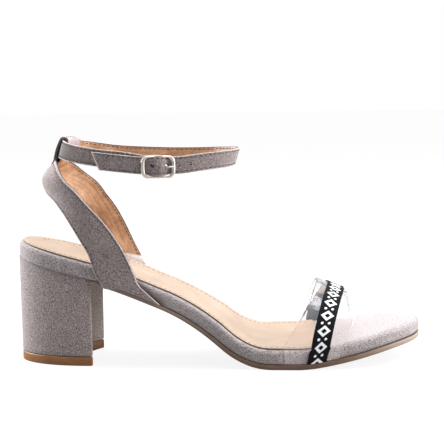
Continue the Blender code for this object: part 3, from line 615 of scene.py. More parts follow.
def soleLayer(name, shares, rings, materials, slots, across=25, warp=None, capFloor=None):
    # a ring is an inset from the outline and a depth above the feather line; the side walls run
    # through the rings, and the top and bottom are straight lines across from side to side
    t = np.linspace(0, 1, across)[None, :, None]

    def planAt(inset, share):
        inset = inset(share)[:, None] if callable(inset) else inset
        outer, inner = sidePoints(share, 1, inset), sidePoints(share, 2, inset)
        return outer[:, None] * (1 - t) + inner[:, None] * t

    def raised(plan, depth, index):
        plan = plan if warp is None else warp(plan)
        x = plan[..., 0]
        z = layerHeight(x, depth(x) if callable(depth) else depth)
        if capFloor is not None and index == 0:
            z = capFloor(plan[..., 0], plan[..., 1], z)
        return np.concatenate([plan, z[..., None]], -1)

    layers = [raised(planAt(inset, shares), depth, k) for k, (inset, depth) in enumerate(rings)]
    wallSlots = np.asarray(slots[1])
    patches = [patch(layers[0], slots[0]), patch(layers[-1], slots[2])]
    for edge in (0, -1):
        wall = np.stack([layer[:, edge] for layer in layers], 1)
        patches.append(patch(wall, wallSlots))
    if shares[0] > 0:
        patches.append(patch(np.stack([layer[0] for layer in layers], 1), wallSlots))
    if shares[-1] < 1:
        patches.append(patch(np.stack([layer[-1] for layer in layers], 1), wallSlots))
    return meshFrom(name, patches, materials)


def paintShadeBeside(piece, lines):
    # the attribute of painted shade that darkens the nap: for each line of points, the depth times
    # a bell of the distance to the line over its reach; the deepest one counts
    mesh = piece.data
    at = np.empty(len(mesh.vertices) * 3, np.float32)
    mesh.vertices.foreach_get("co", at)
    at, paintedShade = at.reshape(-1, 3), np.zeros(len(mesh.vertices))
    for line, reach, depth in lines:
        far = np.min(np.linalg.norm(at[:, None] - line[None], axis=2), axis=1)
        paintedShade = np.maximum(paintedShade, depth * np.exp(-(far / reach) ** 2))
    layer = mesh.attributes.new("paintedShade", "FLOAT", "POINT")
    layer.data.foreach_set("value", paintedShade.astype(np.float32))


def makePlatform():
    # the wrapped board: tucked under at the feather line, upright at the side, rounded on top
    r, inset = sole["rounding"], sole["inset"]
    # rows: inset as a share of the rounding, height as a share of the board's depth
    low = [(0.45 * (1 - math.sin(a)), 0.30 * (1 - math.cos(a)))
           for a in np.linspace(0, math.pi / 2, 6)]
    top = [(1 - math.cos(a), 0.62 + 0.38 * math.sin(a)) for a in np.linspace(0, math.pi / 2, 9)]
    rows = low + [(0.0, 0.46)] + top

    def grown(share, a):
        # towards the toe the rounding grows, and the wrap falls away softly
        soft = easeIn((share - sole["softFrom"]) / sole["softOver"])
        return inset + r * a * (1 + sole["softToe"] * soft)

    rings = [(lambda share, a=a: grown(share, a), lambda x, b=b: boardDepth(x) * b)
             for a, b in rows]
    # more stations at the seams, where the grooves are narrow
    near = np.linspace(-0.0012, 0.0012, 9)
    atSeams = [shareOf(x + near) for x in sole["seams"]]
    shares = np.sort(np.concatenate([soleShares(190)] + atSeams))

    def pulledIn(plan):
        # the wrap's seams: a narrow groove down the outer side at each of their places
        x, y = plan[..., 0], plan[..., 1]
        groove = sum(np.exp(-((x - place) / sole["seamWidth"]) ** 2) for place in sole["seams"])
        return np.stack([x, y * (1 - sole["seamDepth"] * groove * (y < 0))], -1)

    piece = soleLayer("platformWrap", shares, rings, [soleSuede], (0, 0, 0), warp=pulledIn)
    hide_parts("platform")
    return piece


def makeSock():
    # thin lining on the board: dark cut edge, rounded over to a smooth face
    gap, thick, margin = sole["gap"], sole["sock"], sole["sockMargin"]
    r = 0.0006
    rows = [(0.0, 0.0), (0.0, 0.55)] + [(1 - math.cos(a), 0.55 + 0.45 * math.sin(a))
                                         for a in np.linspace(0.3, math.pi / 2, 5)]
    rings = [(margin + r * a, lambda x, b=b: boardDepth(x) + gap + thick * b) for a, b in rows]
    piece = soleLayer("sockLining", soleShares(170, 0.0, sole["sockFront"]), rings,
                      [sockEdge, sockFace], (0, [0, 0, 1, 1, 1, 1], 1), 33)
    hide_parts("sock_lining")


heel = dict(topWidth=0.050, tipWidth=0.0470, topDepth=0.0441, tipDepth=0.0438, breast=0.0213,
            hollow=0.0080, corner=0.0012, tip=0.0050,
            # ribs under the top piece: their pitch, height and the half sizes that they keep to
            ribPitch=0.0046, ribHeight=0.0004, ribReach=(0.0225, 0.0235),
            # cells of the outline that belong to the breast
            breastCells=(124, 171))

# tread under the ball: pitch and depth of the grooves, how far they slant from the middle line,
# where they start and stop along the shoe, and the plain border beside them
tread = dict(pitch=0.0052, depth=0.0005, slant=0.35, middle=0.004, start=0.098, stop=0.176,
             fade=0.006, border=0.0055, borderFade=0.002, hollowFade=0.014)


def makeOutsole():
    # the sole proper: thinner in the waist, a shallow tread of slanting bars under the ball
    gap, inset, edge = sole["gap"], sole["inset"], sole["edge"]
    x0 = heel["breast"] + gap
    reach = heel["topWidth"] / 2 - heel["corner"]

    def bottom(x, lift=0.0):
        grown = easeIn((shareOf(x) - sole["waistEnd"]) / (sole["drop"][-1, 0] - sole["waistEnd"]))
        return lift - gap - sole["outsoleWaist"] - (sole["outsole"] - sole["outsoleWaist"]) * grown

    def hollowBack(plan):
        # the rear edge follows the hollow of the heel's breast, and the pull fades forwards
        x, y = plan[..., 0], plan[..., 1]
        across = np.clip(1 - (y / reach) ** 2, 0, 1)
        ahead = np.clip(1 - (x - x0) / tread["hollowFade"], 0, 1)
        return np.stack([x - heel["hollow"] * across * ahead, y], -1)

    def grooved(x, y, z):
        # grooves as a steep sine of x plus a chevron in y, cut up into the sole under the ball
        slanted = x + tread["slant"] * np.abs(y - tread["middle"])
        wave = np.sin(2 * math.pi * slanted / tread["pitch"])
        inBall = (easeIn((x - tread["start"]) / tread["fade"])
                  * easeIn((tread["stop"] - x) / tread["fade"]))
        toSide = np.minimum(y + sideWidth(shareOf(x), 1), sideWidth(shareOf(x), 2) - y)
        inside = easeIn((toSide - tread["border"]) / tread["borderFade"])
        return z + tread["depth"] * (easeIn((wave - 0.45) / 0.35) * inBall * inside)

    rings = [(inset + edge, bottom), (inset + edge * 0.3, lambda x: bottom(x, edge * 0.3)),
             (inset, lambda x: bottom(x, edge)), (inset, lambda x: -gap - 0.0004 + 0 * x),
             (inset + 0.0002, lambda x: -gap + 0 * x)]
    piece = soleLayer("outsoleLayer", soleShares(420, float(shareOf(x0))), rings, [outsoleBrown],
                      (0, 0, 0), 121, hollowBack, grooved)
    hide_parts("outsole")


# glue line: how far it is set back, its top, and how far ahead of the heel it starts
glue = dict(inset=0.0005, top=0.0004, ahead=0.012)


def makeGlueLine():
    # dark line of glue set back in the joint between the board and the outsole
    gap, inset = sole["gap"], sole["inset"] + glue["inset"]
    rings = [(inset, lambda x: -gap * 1.4 + 0 * x), (inset, lambda x: glue["top"] + 0 * x)]
    first = float(shareOf(heel["breast"] + gap + glue["ahead"]))
    piece = soleLayer("glueLine", soleShares(150, first), rings, [glueBrown], (0, 0, 0), 5)


def heelOutline(width, depth, inset):
    # D plan: half an ellipse round the back, small rounded corners and a hollow breast
    half, front, reach = width / 2 - inset, heel["breast"] - inset, depth - 2 * inset
    corner = heel["corner"]
    turn = np.linspace(0, math.pi, 121)
    back = np.stack([front - corner - (reach - corner) * np.sin(turn), half * np.cos(turn)], 1)
    bend = np.linspace(-math.pi / 2, 0, 9)[1:-1]
    near = np.stack([front - corner + corner * np.cos(bend),
                     -(half - corner) + corner * np.sin(bend)], 1)
    sweep = np.linspace(-1, 1, 41)
    breast = np.stack([front - heel["hollow"] * (1 - sweep ** 2), (half - corner) * sweep], 1)
    far = near[::-1] * np.array([1.0, -1.0])
    return np.concatenate([back, near, breast, far, back[:1]])


def heelStack(name, rings, materials, slots, capHeights):
    # walls run up through the plans; each end is drawn in straight lines to the heel's middle, at
    # the height that its own function gives
    solid = [np.concatenate([plan, z[:, None]], 1) for plan, z in rings]
    inward = np.linspace(0, 1, 44)[None, :, None]

    def cap(k, height):
        plan = rings[k][0][:, None] * (1 - inward)
        z = height(plan[..., 0], plan[..., 1])
        return patch(np.concatenate([plan, z[..., None]], -1), slots[0])

    walls = np.broadcast_to(np.asarray(slots[1]), (len(solid[0]) - 1,))[:, None]
    patches = [patch(np.stack(solid, 1), walls)]
    patches += [cap(0, capHeights[0]), cap(-1, capHeights[1])]
    return meshFrom(name, patches, materials)


def makeHeel():
    gap, edge, tip = sole["gap"], 0.0005, heel["tip"]
    tipSizes, topSizes = (heel["tipWidth"], heel["tipDepth"]), (heel["topWidth"], heel["topDepth"])

    def ribs(x, y):
        # shallow slanting ribs in the tread of the top piece, away from its rim
        wave = np.sin(2 * math.pi * (x + y) / heel["ribPitch"])
        long, wide = heel["ribReach"]
        rim = np.clip(1 - np.hypot(x / long, y / wide), 0, 1)
        return heel["ribHeight"] * easeIn((wave - 0.3) / 0.4) * easeIn((rim - 0.14) / 0.05)

    count = len(heelOutline(*tipSizes, 0))
    rows = [(edge, 0.0), (edge * 0.3, edge * 0.3), (0.0, edge), (0.0, tip - 0.0003), (0.0003, tip)]
    rings = [(heelOutline(*tipSizes, inset), np.full(count, z)) for inset, z in rows]
    piece = heelStack("heelTopPiece", rings, [topPieceBrown], (0, 0),
                      (ribs, lambda x, y: np.full_like(x, tip)))
    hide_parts("heel_top_piece")

    foot = tip + gap
    rings = [(heelOutline(*tipSizes, inset), np.full(count, foot + z))
             for inset, z in ((0.0009, 0.0), (0.0003, 0.0002), (0.0, 0.0008))]
    for share in np.linspace(0.04, 0.97, 26):
        # between tip and seat the plan and the height both run straight
        low, high = heelOutline(*tipSizes, 0), heelOutline(*topSizes, 0)
        plan = low + (high - low) * share
        seat = layerHeight(high[:, 0], -gap - 0.0006)
        rings.append((plan, foot + 0.0008 + (seat - foot - 0.0008) * share))
    for inset, depth in ((0.0, 0.0007), (0.0002, 0.0002), (0.0007, 0.0)):
        plan = heelOutline(*topSizes, inset)
        rings.append((plan, layerHeight(plan[:, 0], -gap - depth)))
    # the outline runs round the back, then over the breast, which takes a paler copy of the suede
    # as painted light
    cell = np.arange(count - 1)
    first, last = heel["breastCells"]
    inBreast = np.where((cell >= first) & (cell <= last), 1, 0)
    piece = heelStack("heelBlock", rings, [heelSuede, paintedLitBreast], (0, inBreast),
                      (lambda x, y: np.full_like(x, foot), lambda x, y: layerHeight(x, -gap)))
    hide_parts("heel_block")


platformWrap = makePlatform()
makeSock()
makeOutsole()
makeGlueLine()
makeHeel()
print("sole and heel made")


# a strip's edge has a dent at its seam, as a share of the edge and of the thickness; a row of
# stitches lies in a groove, as a share of the thickness and in metres
strips = dict(dent=0.45, dentWidth=0.10, groove=0.10, grooveWidth=0.00045)


def stripLoop(runCount=25, edgeCount=9, squareness=0.55, seam=0.35, layered=False):
    # section of a strip as a closed loop: share across, edge pull, share through, slot
    bend = np.linspace(math.pi / 2, -math.pi / 2, edgeCount)
    pull = np.abs(np.cos(bend)) ** squareness
    through = 0.5 + 0.5 * np.sign(np.sin(bend)) * np.abs(np.sin(bend)) ** squareness
    pull = pull - strips["dent"] * np.exp(-((through - seam) / strips["dentWidth"]) ** 2)
    run = np.linspace(0, 1, runCount)
    half = edgeCount // 2
    parts = [
        (np.zeros(half), -pull[half:0:-1], through[half:0:-1], 1),
        (run, np.zeros(runCount), np.ones(runCount), 0),
        (np.ones(edgeCount - 2), pull[1:-1], through[1:-1], 1),
        (run[::-1], np.zeros(runCount), np.zeros(runCount), 2),
        (np.zeros(half), -pull[edgeCount - 2:half - 1:-1], through[edgeCount - 2:half - 1:-1], 1)]
    share, edge, deep = [np.concatenate([p[k] for p in parts]) for k in range(3)]
    kind = np.concatenate([np.full(len(p[0]), p[3]) for p in parts])
    cells = np.where(kind[:-1] == kind[1:], kind[:-1], 1)
    # an edge has two layers: the face's own over a near-black one of the back, partly its own
    # layer and partly painted shade
    if layered:
        cells = np.where((cells == 1) & ((deep[:-1] + deep[1:]) / 2 < seam), 4, cells)
    return share, edge, deep, cells


class Strip:
    # a strip keeps its surface over s and v, the range of s, its thickness, and which side of the
    # surface is the outer one, away from the given middle
    def __init__(self, surface, first, last, thickness, middle, radius=0.0004, centred=False,
                 crown=0.0, grooves=(), taper=None):
        self.surface, self.first, self.last = surface, first, last
        self.thickness, self.radius, self.centred = thickness, radius, centred
        self.crown, self.grooves, self.taper = crown, grooves, taper
        at = np.linspace(min(first, last), max(first, last), 60)
        self.widths = (at, self.width(at))
        self.sign = 1.0
        s, v = np.meshgrid(np.linspace(first, last, 41), np.linspace(0.1, 0.9, 5), indexing="ij")
        outward = np.sum(self.normal(s, v) * (surface(s, v) - np.array(middle)), axis=-1)
        self.sign = 1.0 if np.median(outward) > 0 else -1.0

    def normal(self, s, v):
        # cross product of the surface's two small steps
        step = (self.last - self.first) * 1e-3
        low, high = min(self.first, self.last), max(self.first, self.last)
        s = np.clip(s, low + abs(step), high - abs(step))
        along = self.surface(s + step, v) - self.surface(s - step, v)
        over = self.surface(s, v + 0.002) - self.surface(s, v - 0.002)
        return unit(np.cross(along, over)) * self.sign

    def width(self, s):
        v = np.linspace(0, 1, 9)
        line = self.surface(s[:, None] + 0 * v, v[None, :] + 0 * s[:, None])
        return np.linalg.norm(np.diff(line, axis=1), axis=2).sum(axis=1)

    def point(self, s, v, w):
        # surface point moved out along the normal by w thicknesses; stitch grooves sink the face
        wide = np.interp(s, *self.widths)
        inside = np.clip(v, 0, 1)
        face = w * (1 + self.crown * (1 - (2 * inside - 1) ** 2))
        for distance in self.grooves:
            for edge in (inside, 1 - inside):
                off = (edge * wide - distance) / strips["grooveWidth"]
                face = face - strips["groove"] * w * np.exp(-off ** 2)
        shift = (face - 0.5) if self.centred else face
        thick = self.thickness * (1.0 if self.taper is None else self.taper(s))
        return self.surface(s, v) + self.normal(s, v) * (shift * thick)[..., None]

    def section(self, s, loop, shrink):
        share, edge, deep = loop[:3]
        r = (self.radius / np.interp(s, *self.widths))[:, None]
        v = r + (1 - 2 * r) * share[None, :] + edge[None, :] * r * shrink[:, None]
        w = 0.5 + (deep[None, :] - 0.5) * (0.25 + 0.75 * shrink[:, None])
        return self.point(s[:, None] + 0 * v, v, w), v

    def patches(self, stations, loop):
        # the body of the strip, drawn in at both ends, and the two end faces with the cut's slot
        shrink = np.ones(len(stations))
        shrink[[0, -1]], shrink[[1, -2]] = 0.0, 0.75
        body, v = self.section(stations, loop, shrink)
        count = body.shape[1] - 1
        half = count // 2
        ends = []
        for k in (0, -1):
            near, back = body[k, :half + 1], body[k, count - np.arange(half + 1)]
            ends.append(patch(np.stack([near, back], 1), 1))
        slots = np.broadcast_to(loop[3][None, :], (len(stations) - 1, count))
        length = runLength(body[:, count // 4])
        wide = np.interp(stations, *self.widths)[:, None]
        uv = np.stack([length[:, None] + 0 * v, (v - 0.5) * wide], 2)
        main = patch(body, 0, uv)
        main["slots"] = slots
        return [main] + ends


def withEnds(values, span):
    # stations plus one just inside each end, so that the ends can be rounded
    step = span * (1 if values[-1] > values[0] else -1)
    return np.concatenate([[values[0], values[0] + step * 0.4, values[0] + step], values[1:-1],
                           [values[-1] - step, values[-1] - step * 0.4, values[-1]]])


# thread: its radius, the lengths of the stitches, how deep they sink, and their slant
stitch = dict(radius=0.00022, slingLength=0.0014, ankleLength=0.0017, sockLength=0.0019,
              sockPitch=0.0031, sink=0.35, lean=0.10)


def stitchRun(strip, v, span, pitch, length, face=1.0):
    # thread capsules at even steps along a line of the strip, each partly sunk in its face
    s = np.linspace(span[0], span[1], 900)
    vAt = v(s) if callable(v) else np.full_like(s, v)
    line = strip.point(s, vAt, np.full_like(s, face))
    normal = strip.normal(s, vAt) * (1.0 if face > 0.5 else -1.0)
    run = runLength(line)
    count = max(int(run[-1] / pitch), 1)
    at = (np.arange(count) + 0.5) * run[-1] / count
    centre, out = alongRun(at, run, line), unit(alongRun(at, run, normal))
    along = unit(alongRun(at, run, np.gradient(line, axis=0)))
    side = unit(np.cross(out, along))
    along = unit(along + stitch["lean"] * side)
    side = unit(np.cross(out, along))
    raised = centre + out * stitch["radius"] * (1 - 2 * stitch["sink"])
    return capsules(raised, along, side, out, length)


def capsules(centre, along, side, out, length):
    # half the length times b along, and round it the radius times the root of 1 less b to the 4th
    b = np.array([-1.0, -0.8, -0.35, 0.35, 0.8, 1.0])
    turn = np.linspace(0, 2 * math.pi, 8)
    reach = stitch["radius"] * np.sqrt(np.clip(1 - b ** 4, 0, 1))
    shape = (centre[:, None, None] + along[:, None, None] * (length / 2 * b)[None, :, None, None]
             + side[:, None, None] * (reach[:, None] * np.cos(turn))[None, :, :, None]
             + out[:, None, None] * (reach[:, None] * np.sin(turn))[None, :, :, None])
    return [patch(grid) for grid in shape]


def makeStitches(name, runs, material):
    patches = [p for run in runs for p in run]
    piece = meshFrom(name, patches, [material], 60)
    print(name, "stitches:", len(patches))


def makeSockStitches():
    # a line of thread just inside the sock's edge, along both sides from the heel seat to the ball
    patches = []
    lift = sole["gap"] + sole["sock"]
    for side, inset in ((1, sole["sockStitch"] / 2), (2, sole["sockStitch"] * 2)):
        shares = soleShares(400, 0.02, sole["sockFront"] - 0.01)
        plan = sidePoints(shares, side, sole["sockMargin"] + inset)
        z = layerHeight(plan[:, 0], boardDepth(plan[:, 0]) + lift)
        line = np.concatenate([plan, z[:, None]], 1)
        run = runLength(line)
        at = np.arange(0.001, run[-1] - 0.001, stitch["sockPitch"])
        centre = alongRun(at, run, line)
        along = unit(alongRun(at, run, np.gradient(line, axis=0)))
        across = unit(np.cross(np.array([0.0, 0.0, 1.0]), along))
        patches.append(capsules(centre, along, across, np.cross(along, across),
                                stitch["sockLength"]))
    makeStitches("sockStitches", patches, sockThread)


makeSockStitches()


# the sling strap round the heel
sling = dict(
    thickness=0.0020, legCentre=0.024, legWidth=0.0620, bulge=0.0083, wrap=0.0485,
    rimBlend=0.014, footDip=0.036, loopWidth=0.0195, loopShift=0.0024, loopThickness=0.0014,
    stitchInset=0.0014, stitchPitch=0.0024,
    # rows and share of the width over which the foot's rear corner dips; how much thinner the foot
    # is skived, and over how many rows
    dipReach=(1.4, 0.34), skived=0.10, skivedRows=1.6,
    # rows where the stitches of the face start, and rows they keep free on each side of the fold
    stitchStart=1.2, stitchFree=0.55, footRows=3.2,
    # rows of the pattern where the lining stops, and up to which the front edge's border is pale
    liningStop=3.07, borderStop=3.3, border=0.975,
    # reach and depth of the painted shade on the board in front of a foot, behind it and at the
    # seams
    shadeFront=(0.0027, 0.78), shadeBack=(0.0013, 0.6), shadeSeam=(0.0007, 0.62),
    # lower along, lower rise, upper along, upper rise, shift of the inner side
    pattern=np.array([
        (1.11, 0.003, 1.75, 0.003, 0.06), (1.07, 0.018, 1.61, 0.048, 0.05),
        (1.02, 0.048, 1.51, 0.090, 0.03), (0.98, 0.130, 1.46, 0.170, -0.02),
        (0.93, 0.230, 1.37, 0.290, -0.05), (0.84, 0.320, 1.24, 0.420, -0.02),
        (0.72, 0.430, 1.09, 0.540, 0.03), (0.57, 0.545, 0.93, 0.650, 0.07),
        (0.42, 0.630, 0.74, 0.790, 0.09), (0.22, 0.678, 0.44, 0.925, 0.06),
        (0.00, 0.690, 0.00, 0.985, 0.00)]),
    # height as a share of the ankle strap's, and how far the back stands out there
    back=np.array([(0.75, 0.52), (0.84, 0.76), (0.87, 0.94), (0.895, 1.00), (0.93, 0.76),
                   (0.965, 0.30), (0.99, 0.02), (1.09, -0.44)]))

ankle = dict(
    height=0.1155, rise=0.0056, length=0.0983, width=0.0610, back=0.0042, roundness=2.6, lean=0.30,
    strapWidth=0.0096, thickness=0.0015, lapEnd=0.150, slant=0.45, lapStart=0.0062, lapEase=0.0056,
    barBump=0.0005, bumpReach=0.0030, stitchInset=0.0012, stitchPitch=0.0027, tipEdge=0.0009,
    # half the stretch that has finer stations for the holes; reach and depth of the painted shade
    holeBand=0.022, shadeLoop=(0.0175, 0.76), shadePlace=0.025, stitchSpan=(0.012, 0.990),
    # turns from the back, outer side positive, and rise as a share of the ankle rise
    rows=np.array([
        (-0.90, 0.05), (-0.85, -0.03), (-0.80, -0.26), (-0.755, -0.46), (-0.72, -0.50),
        (-0.675, -0.48), (-0.634, -0.26), (-0.58, -0.06), (-0.50, 0.02), (-0.42, -0.10),
        (-0.34, -0.20), (-0.25, -0.12), (-0.16, 0.18), (-0.10, 0.62), (-0.05, 0.90),
        (0.00, 1.00), (0.05, 0.90), (0.115, 0.50), (0.16, 0.23), (0.215, -0.04), (0.245, -0.30),
        (0.27, -0.46), (0.30, -0.52)]))

buckle = dict(
    place=0.2794, length=0.0190, corner=0.0034, wire=0.0013, barShare=0.92, frameSink=0.0004,
    rearSink=0.0001, prong=0.0010, prongHole=0.0026, prongPlace=0.0040, hole=0.0017,
    pitch=0.0066, hang=0.0007, swell=0.0015, swellPlace=-0.0010, swellReach=0.0044,
    # how much the frame is drawn in along and across, and its breadth at the rails and more at
    # the two short sides
    tighter=(0.0006, 0.0002), slim=0.74, broad=0.70,
    # how far from its end the prong starts to round, and the radius of that rounding
    tipRound=(0.0006, 0.00062))


def legPoint(side, along, rise):
    # inside of the sling strap: a quarter wave round the heel that runs on forwards as a flat
    # side and comes in to the board's edge below its rim; a few rounds settle x and height
    quarter = np.clip(along, 0, 1) * math.pi / 2
    x = sling["legCentre"] * np.ones_like(along)
    for _ in range(4):
        foot = featherLine(x)[0]
        z = foot + rise * (ankle["height"] - foot)
        out = smoothAt(z / ankle["height"], *sling["back"].T)
        back = ankle["back"] - ankle["thickness"] / 2 - sole["gap"] - sling["loopThickness"] * 2
        back = back - out * sling["bulge"]
        reach = sling["legCentre"] - back - sling["thickness"]
        x = sling["legCentre"] - reach * np.cos(quarter) + np.maximum(along - 1, 0) * sling["wrap"]
    leg = (sling["legWidth"] / 2 - sling["thickness"]) * np.sin(quarter)
    board = sideWidth(shareOf(x), side) - sole["inset"] + sole["gap"]
    low = 1 - easeIn((z - boardTop(x)) / sling["rimBlend"])
    half = leg + (board - leg) * low
    return np.stack([x, (-half if side == 1 else half), z], -1)


slingRows = len(sling["pattern"]) - 1


def slingSurface(s, v):
    # s runs from the outer foot over the back to the inner foot, v from lower to upper edge
    inner = s > slingRows
    step = np.where(inner, 2 * slingRows - s, s)
    knots = np.arange(slingRows + 1, dtype=float)
    lowAlong, lowRise, topAlong, topRise, shift = [smoothAt(step, knots, sling["pattern"][:, k])
                                                   for k in range(5)]
    along = lowAlong + (topAlong - lowAlong) * v
    rise = lowRise + (topRise - lowRise) * v
    # the foot's rear corner is drawn down over the edge of the outsole
    rows, across = sling["dipReach"]
    rise = rise - sling["footDip"] * (1 - easeIn(step / rows)) * (1 - easeIn(v / across))
    outerPoint = legPoint(1, along, rise)
    innerPoint = legPoint(2, along + shift, rise)
    return np.where(inner[..., None], innerPoint, outerPoint)


def slingTaper(s):
    # the foot is skived thin where it is glued to the board
    foot = np.minimum(s, 2 * slingRows - s)
    return 1 - sling["skived"] * (1 - easeIn((foot - 0.1) / sling["skivedRows"]))


def makeSling():
    strip = Strip(slingSurface, 0.0, 2.0 * slingRows, sling["thickness"],
                  (sling["legCentre"], 0, 0.09), 0.0005, grooves=(sling["stitchInset"],),
                  taper=slingTaper)
    loop = stripLoop(41, 13, seam=0.42, layered=True)
    stations = withEnds(np.linspace(0, 2 * slingRows, 241), 0.03)
    patches = strip.patches(stations, loop)
    # the lining stops short of the board; the skived suede below it is painted near white, a
    # painted highlight
    slots = patches[0]["slots"]
    foot = np.minimum(stations[1:], 2 * slingRows - stations[1:])[:, None]
    slots = np.where((slots == 2) & (foot < sling["liningStop"]), 3, slots)
    # on the inner foot the pared edge takes the same near-white painted highlight as its back
    pared = (stations[1:, None] > slingRows) & (foot < sling["liningStop"])
    slots = np.where(pared & ((slots == 1) | (slots == 4)), 3, slots)
    # down at the foot the front edge is pared, so a border of the face shows the cut too
    border = (loop[0][:-1] + loop[0][1:])[None, :] / 2 > sling["border"]
    slots = np.where((slots == 0) & border & (foot < sling["borderStop"]), 1, slots)
    patches[0]["slots"] = slots
    piece = meshFrom("slingStrap", patches, [strapSuede, cutEdge, tanLining, paintedHighlightFoot, darkEdge])
    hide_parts("quarter_strap")
    # painted shade: the board's nap is darkened beside both edges of each foot and in the seams of
    # the wrap
    at = np.linspace(0, sling["footRows"], 60)
    lines = []
    for v, shadeSize in ((1.0, sling["shadeFront"]), (0.0, sling["shadeBack"])):
        for s in (at, 2 * slingRows - at):
            lines.append((strip.point(s, np.full_like(s, v), np.zeros_like(s)), *shadeSize))
    for x in sole["seams"]:
        z = layerHeight(x, np.linspace(0, float(boardDepth(x)), 16))
        wall = np.stack([0 * z + x, 0 * z - sideWidth(shareOf(x), 1), z], 1)
        lines.append((wall, *sling["shadeSeam"]))
    paintShadeBeside(platformWrap, lines)
    paintShadeBeside(piece, [])
    inset, pitch, free = sling["stitchInset"], sling["stitchPitch"], sling["stitchFree"]
    runs = []
    for face, start in ((1.0, sling["stitchStart"]), (0.0, sling["liningStop"] + 0.05)):
        for edge in (0, 1):
            def beside(s, edge=edge):
                share = inset / np.interp(s, *strip.widths)
                return share if edge == 0 else 1 - share

            for span in ((start, slingRows - free), (slingRows + free, 2 * slingRows - start)):
                runs.append(stitchRun(strip, beside, span, pitch, stitch["slingLength"], face))
    makeStitches("slingStitches", runs, darkThread)


def ankleRing(count=1440):
    # plan of the strap: a rounded oval, x and y as powers of cosine and sine, and its run
    turn = np.linspace(0, 2 * math.pi, count + 1)
    power, half = 2 / ankle["roundness"], ankle["length"] / 2
    x = ankle["back"] + half - half * np.sign(np.cos(turn)) * np.abs(np.cos(turn)) ** power
    y = -ankle["width"] / 2 * np.sign(np.sin(turn)) * np.abs(np.sin(turn)) ** power
    return x, y, runLength(np.stack([x, y], 1))


ringX, ringY, ringLength = ankleRing()
girth = float(ringLength[-1])


def ringAt(turns):
    # point of the ring's plan and the outward direction there; a turn is one way round
    def point(t):
        at = np.mod(t, 1.0) * girth
        return np.stack([np.interp(at, ringLength, ringX), np.interp(at, ringLength, ringY)], -1)

    tangent = unit(point(np.asarray(turns) + 0.004) - point(np.asarray(turns) - 0.004))
    return point(np.asarray(turns)), np.stack([tangent[..., 1], -tangent[..., 0]], -1)


def strapHeight(turns):
    return ankle["height"] + ankle["rise"] * smoothAt(turns, *ankle["rows"].T)


def strapLift(turns):
    # how far the strap stands out where it passes over the bar and over its own start
    before = (buckle["place"] - 1 - np.asarray(turns)) * girth
    lapped = easeIn((before + ankle["lapStart"]) / ankle["lapEase"])
    lift = (ankle["thickness"] + sole["gap"]) * lapped
    return lift + ankle["barBump"] * np.exp(-(before / ankle["bumpReach"]) ** 2)


def anklePoint(turns, out, up):
    # from the strap's middle: outwards and up, the whole section leaning with the ankle
    plan, normal = ringAt(turns)
    lean = ankle["lean"] * normal[..., 0]
    shift = out + lean * up
    return np.stack([plan[..., 0] + normal[..., 0] * shift, plan[..., 1] + normal[..., 1] * shift,
                     strapHeight(turns) + up - lean * out], -1)


strapStart = buckle["place"] - (buckle["wire"] / 2 + sole["gap"]) / girth
strapEnd = ankle["lapEnd"] - 1


def strapShare(turns):
    return (strapStart - turns) / (strapStart - strapEnd)


def strapTurns(s, v):
    # s runs from the buckle round the ankle to the slanted tip
    last = strapEnd - ankle["slant"] * (v - 0.5) * ankle["strapWidth"] / girth
    return strapStart + (last - strapStart) * s


def ankleSurface(s, v):
    turns = strapTurns(s, v)
    # inside the frame the strap swells outwards: a flat-topped bell along it, a parabola across
    along = (turns - (buckle["place"] - 1)) * girth - buckle["swellPlace"]
    across = np.clip(1 - (2 * v - 1) ** 2, 0, 1) ** 0.75
    swell = buckle["swell"] * np.exp(-(along / buckle["swellReach"]) ** 4) * across
    out = strapLift(turns) - ankle["thickness"] / 2 + swell
    return anklePoint(turns, out, (v - 0.5) * ankle["strapWidth"])


def punched(strip, stations, loop, holes, run):
    # each hole takes a block of cells out of both faces, and rings run from the block's rim in to
    # a circle, through the strap and out to the block on the back; run is the strap's length
    share, cells = loop[0], loop[3]
    patches = strip.patches(stations, loop)
    main = patches[0]
    # the slanted tip shows its pale cut edge
    atTip = stations[1:, None] > 1 - ankle["tipEdge"] / run
    main["slots"] = np.where(atTip & (cells == 0), 1, main["slots"])
    keep = np.ones((len(stations) - 1, len(share) - 1), bool)
    wide = ankle["strapWidth"]
    r = strip.radius / wide
    for sHole, size in holes:
        sLow = np.searchsorted(stations, sHole - size * 1.7 / run, side="right") - 1
        sHigh = np.searchsorted(stations, sHole + size * 1.7 / run)
        for kind in (0, 2):
            columns = np.where(cells == kind)[0]
            mid = (share[columns] + share[columns + 1]) / 2
            block = columns[np.abs(mid - 0.5) * wide < size * 1.7]
            keep[sLow:sHigh, block[0]:block[-1] + 1] = False
            if kind == 0:
                vNodes = r + (1 - 2 * r) * share[block[0]:block[-1] + 2]
        sNodes = stations[sLow:sHigh + 1]
        rimS = np.concatenate([sNodes, np.full(len(vNodes) - 2, sNodes[-1]), sNodes[::-1],
                               np.full(len(vNodes) - 1, sNodes[0])])
        rimV = np.concatenate([np.full(len(sNodes), vNodes[0]), vNodes[1:-1],
                               np.full(len(sNodes), vNodes[-1]), vNodes[::-1][1:]])
        angle = np.arctan2((rimV - 0.5) * wide, (rimS - sHole) * run)
        rows = []
        # the punch leaves a funnel: open at the face, narrow at the lining
        back = 0.62 if size > 0.001 else 0.32
        for reach, w in ((None, 1.0), (1.35, 1.0), (0.96, 0.98), (0.88, 0.86),
                         (back + 0.1, 0.40), (back, 0.10), (back + 0.06, 0.02), (1.35, 0.0),
                         (None, 0.0)):
            if reach is None:
                s, v = rimS, rimV
            else:
                s = sHole + size * reach * np.cos(angle) / run
                v = 0.5 + size * reach * np.sin(angle) / wide
            rows.append(strip.point(s, v, np.full_like(s, w)))
        # the walls of the hole take the near-black edge: painted shade inside the hole
        patches.append(patch(np.stack(rows, 1), [0, 0, 3, 3, 3, 3, 2, 2]))
    main["keep"] = keep
    return patches


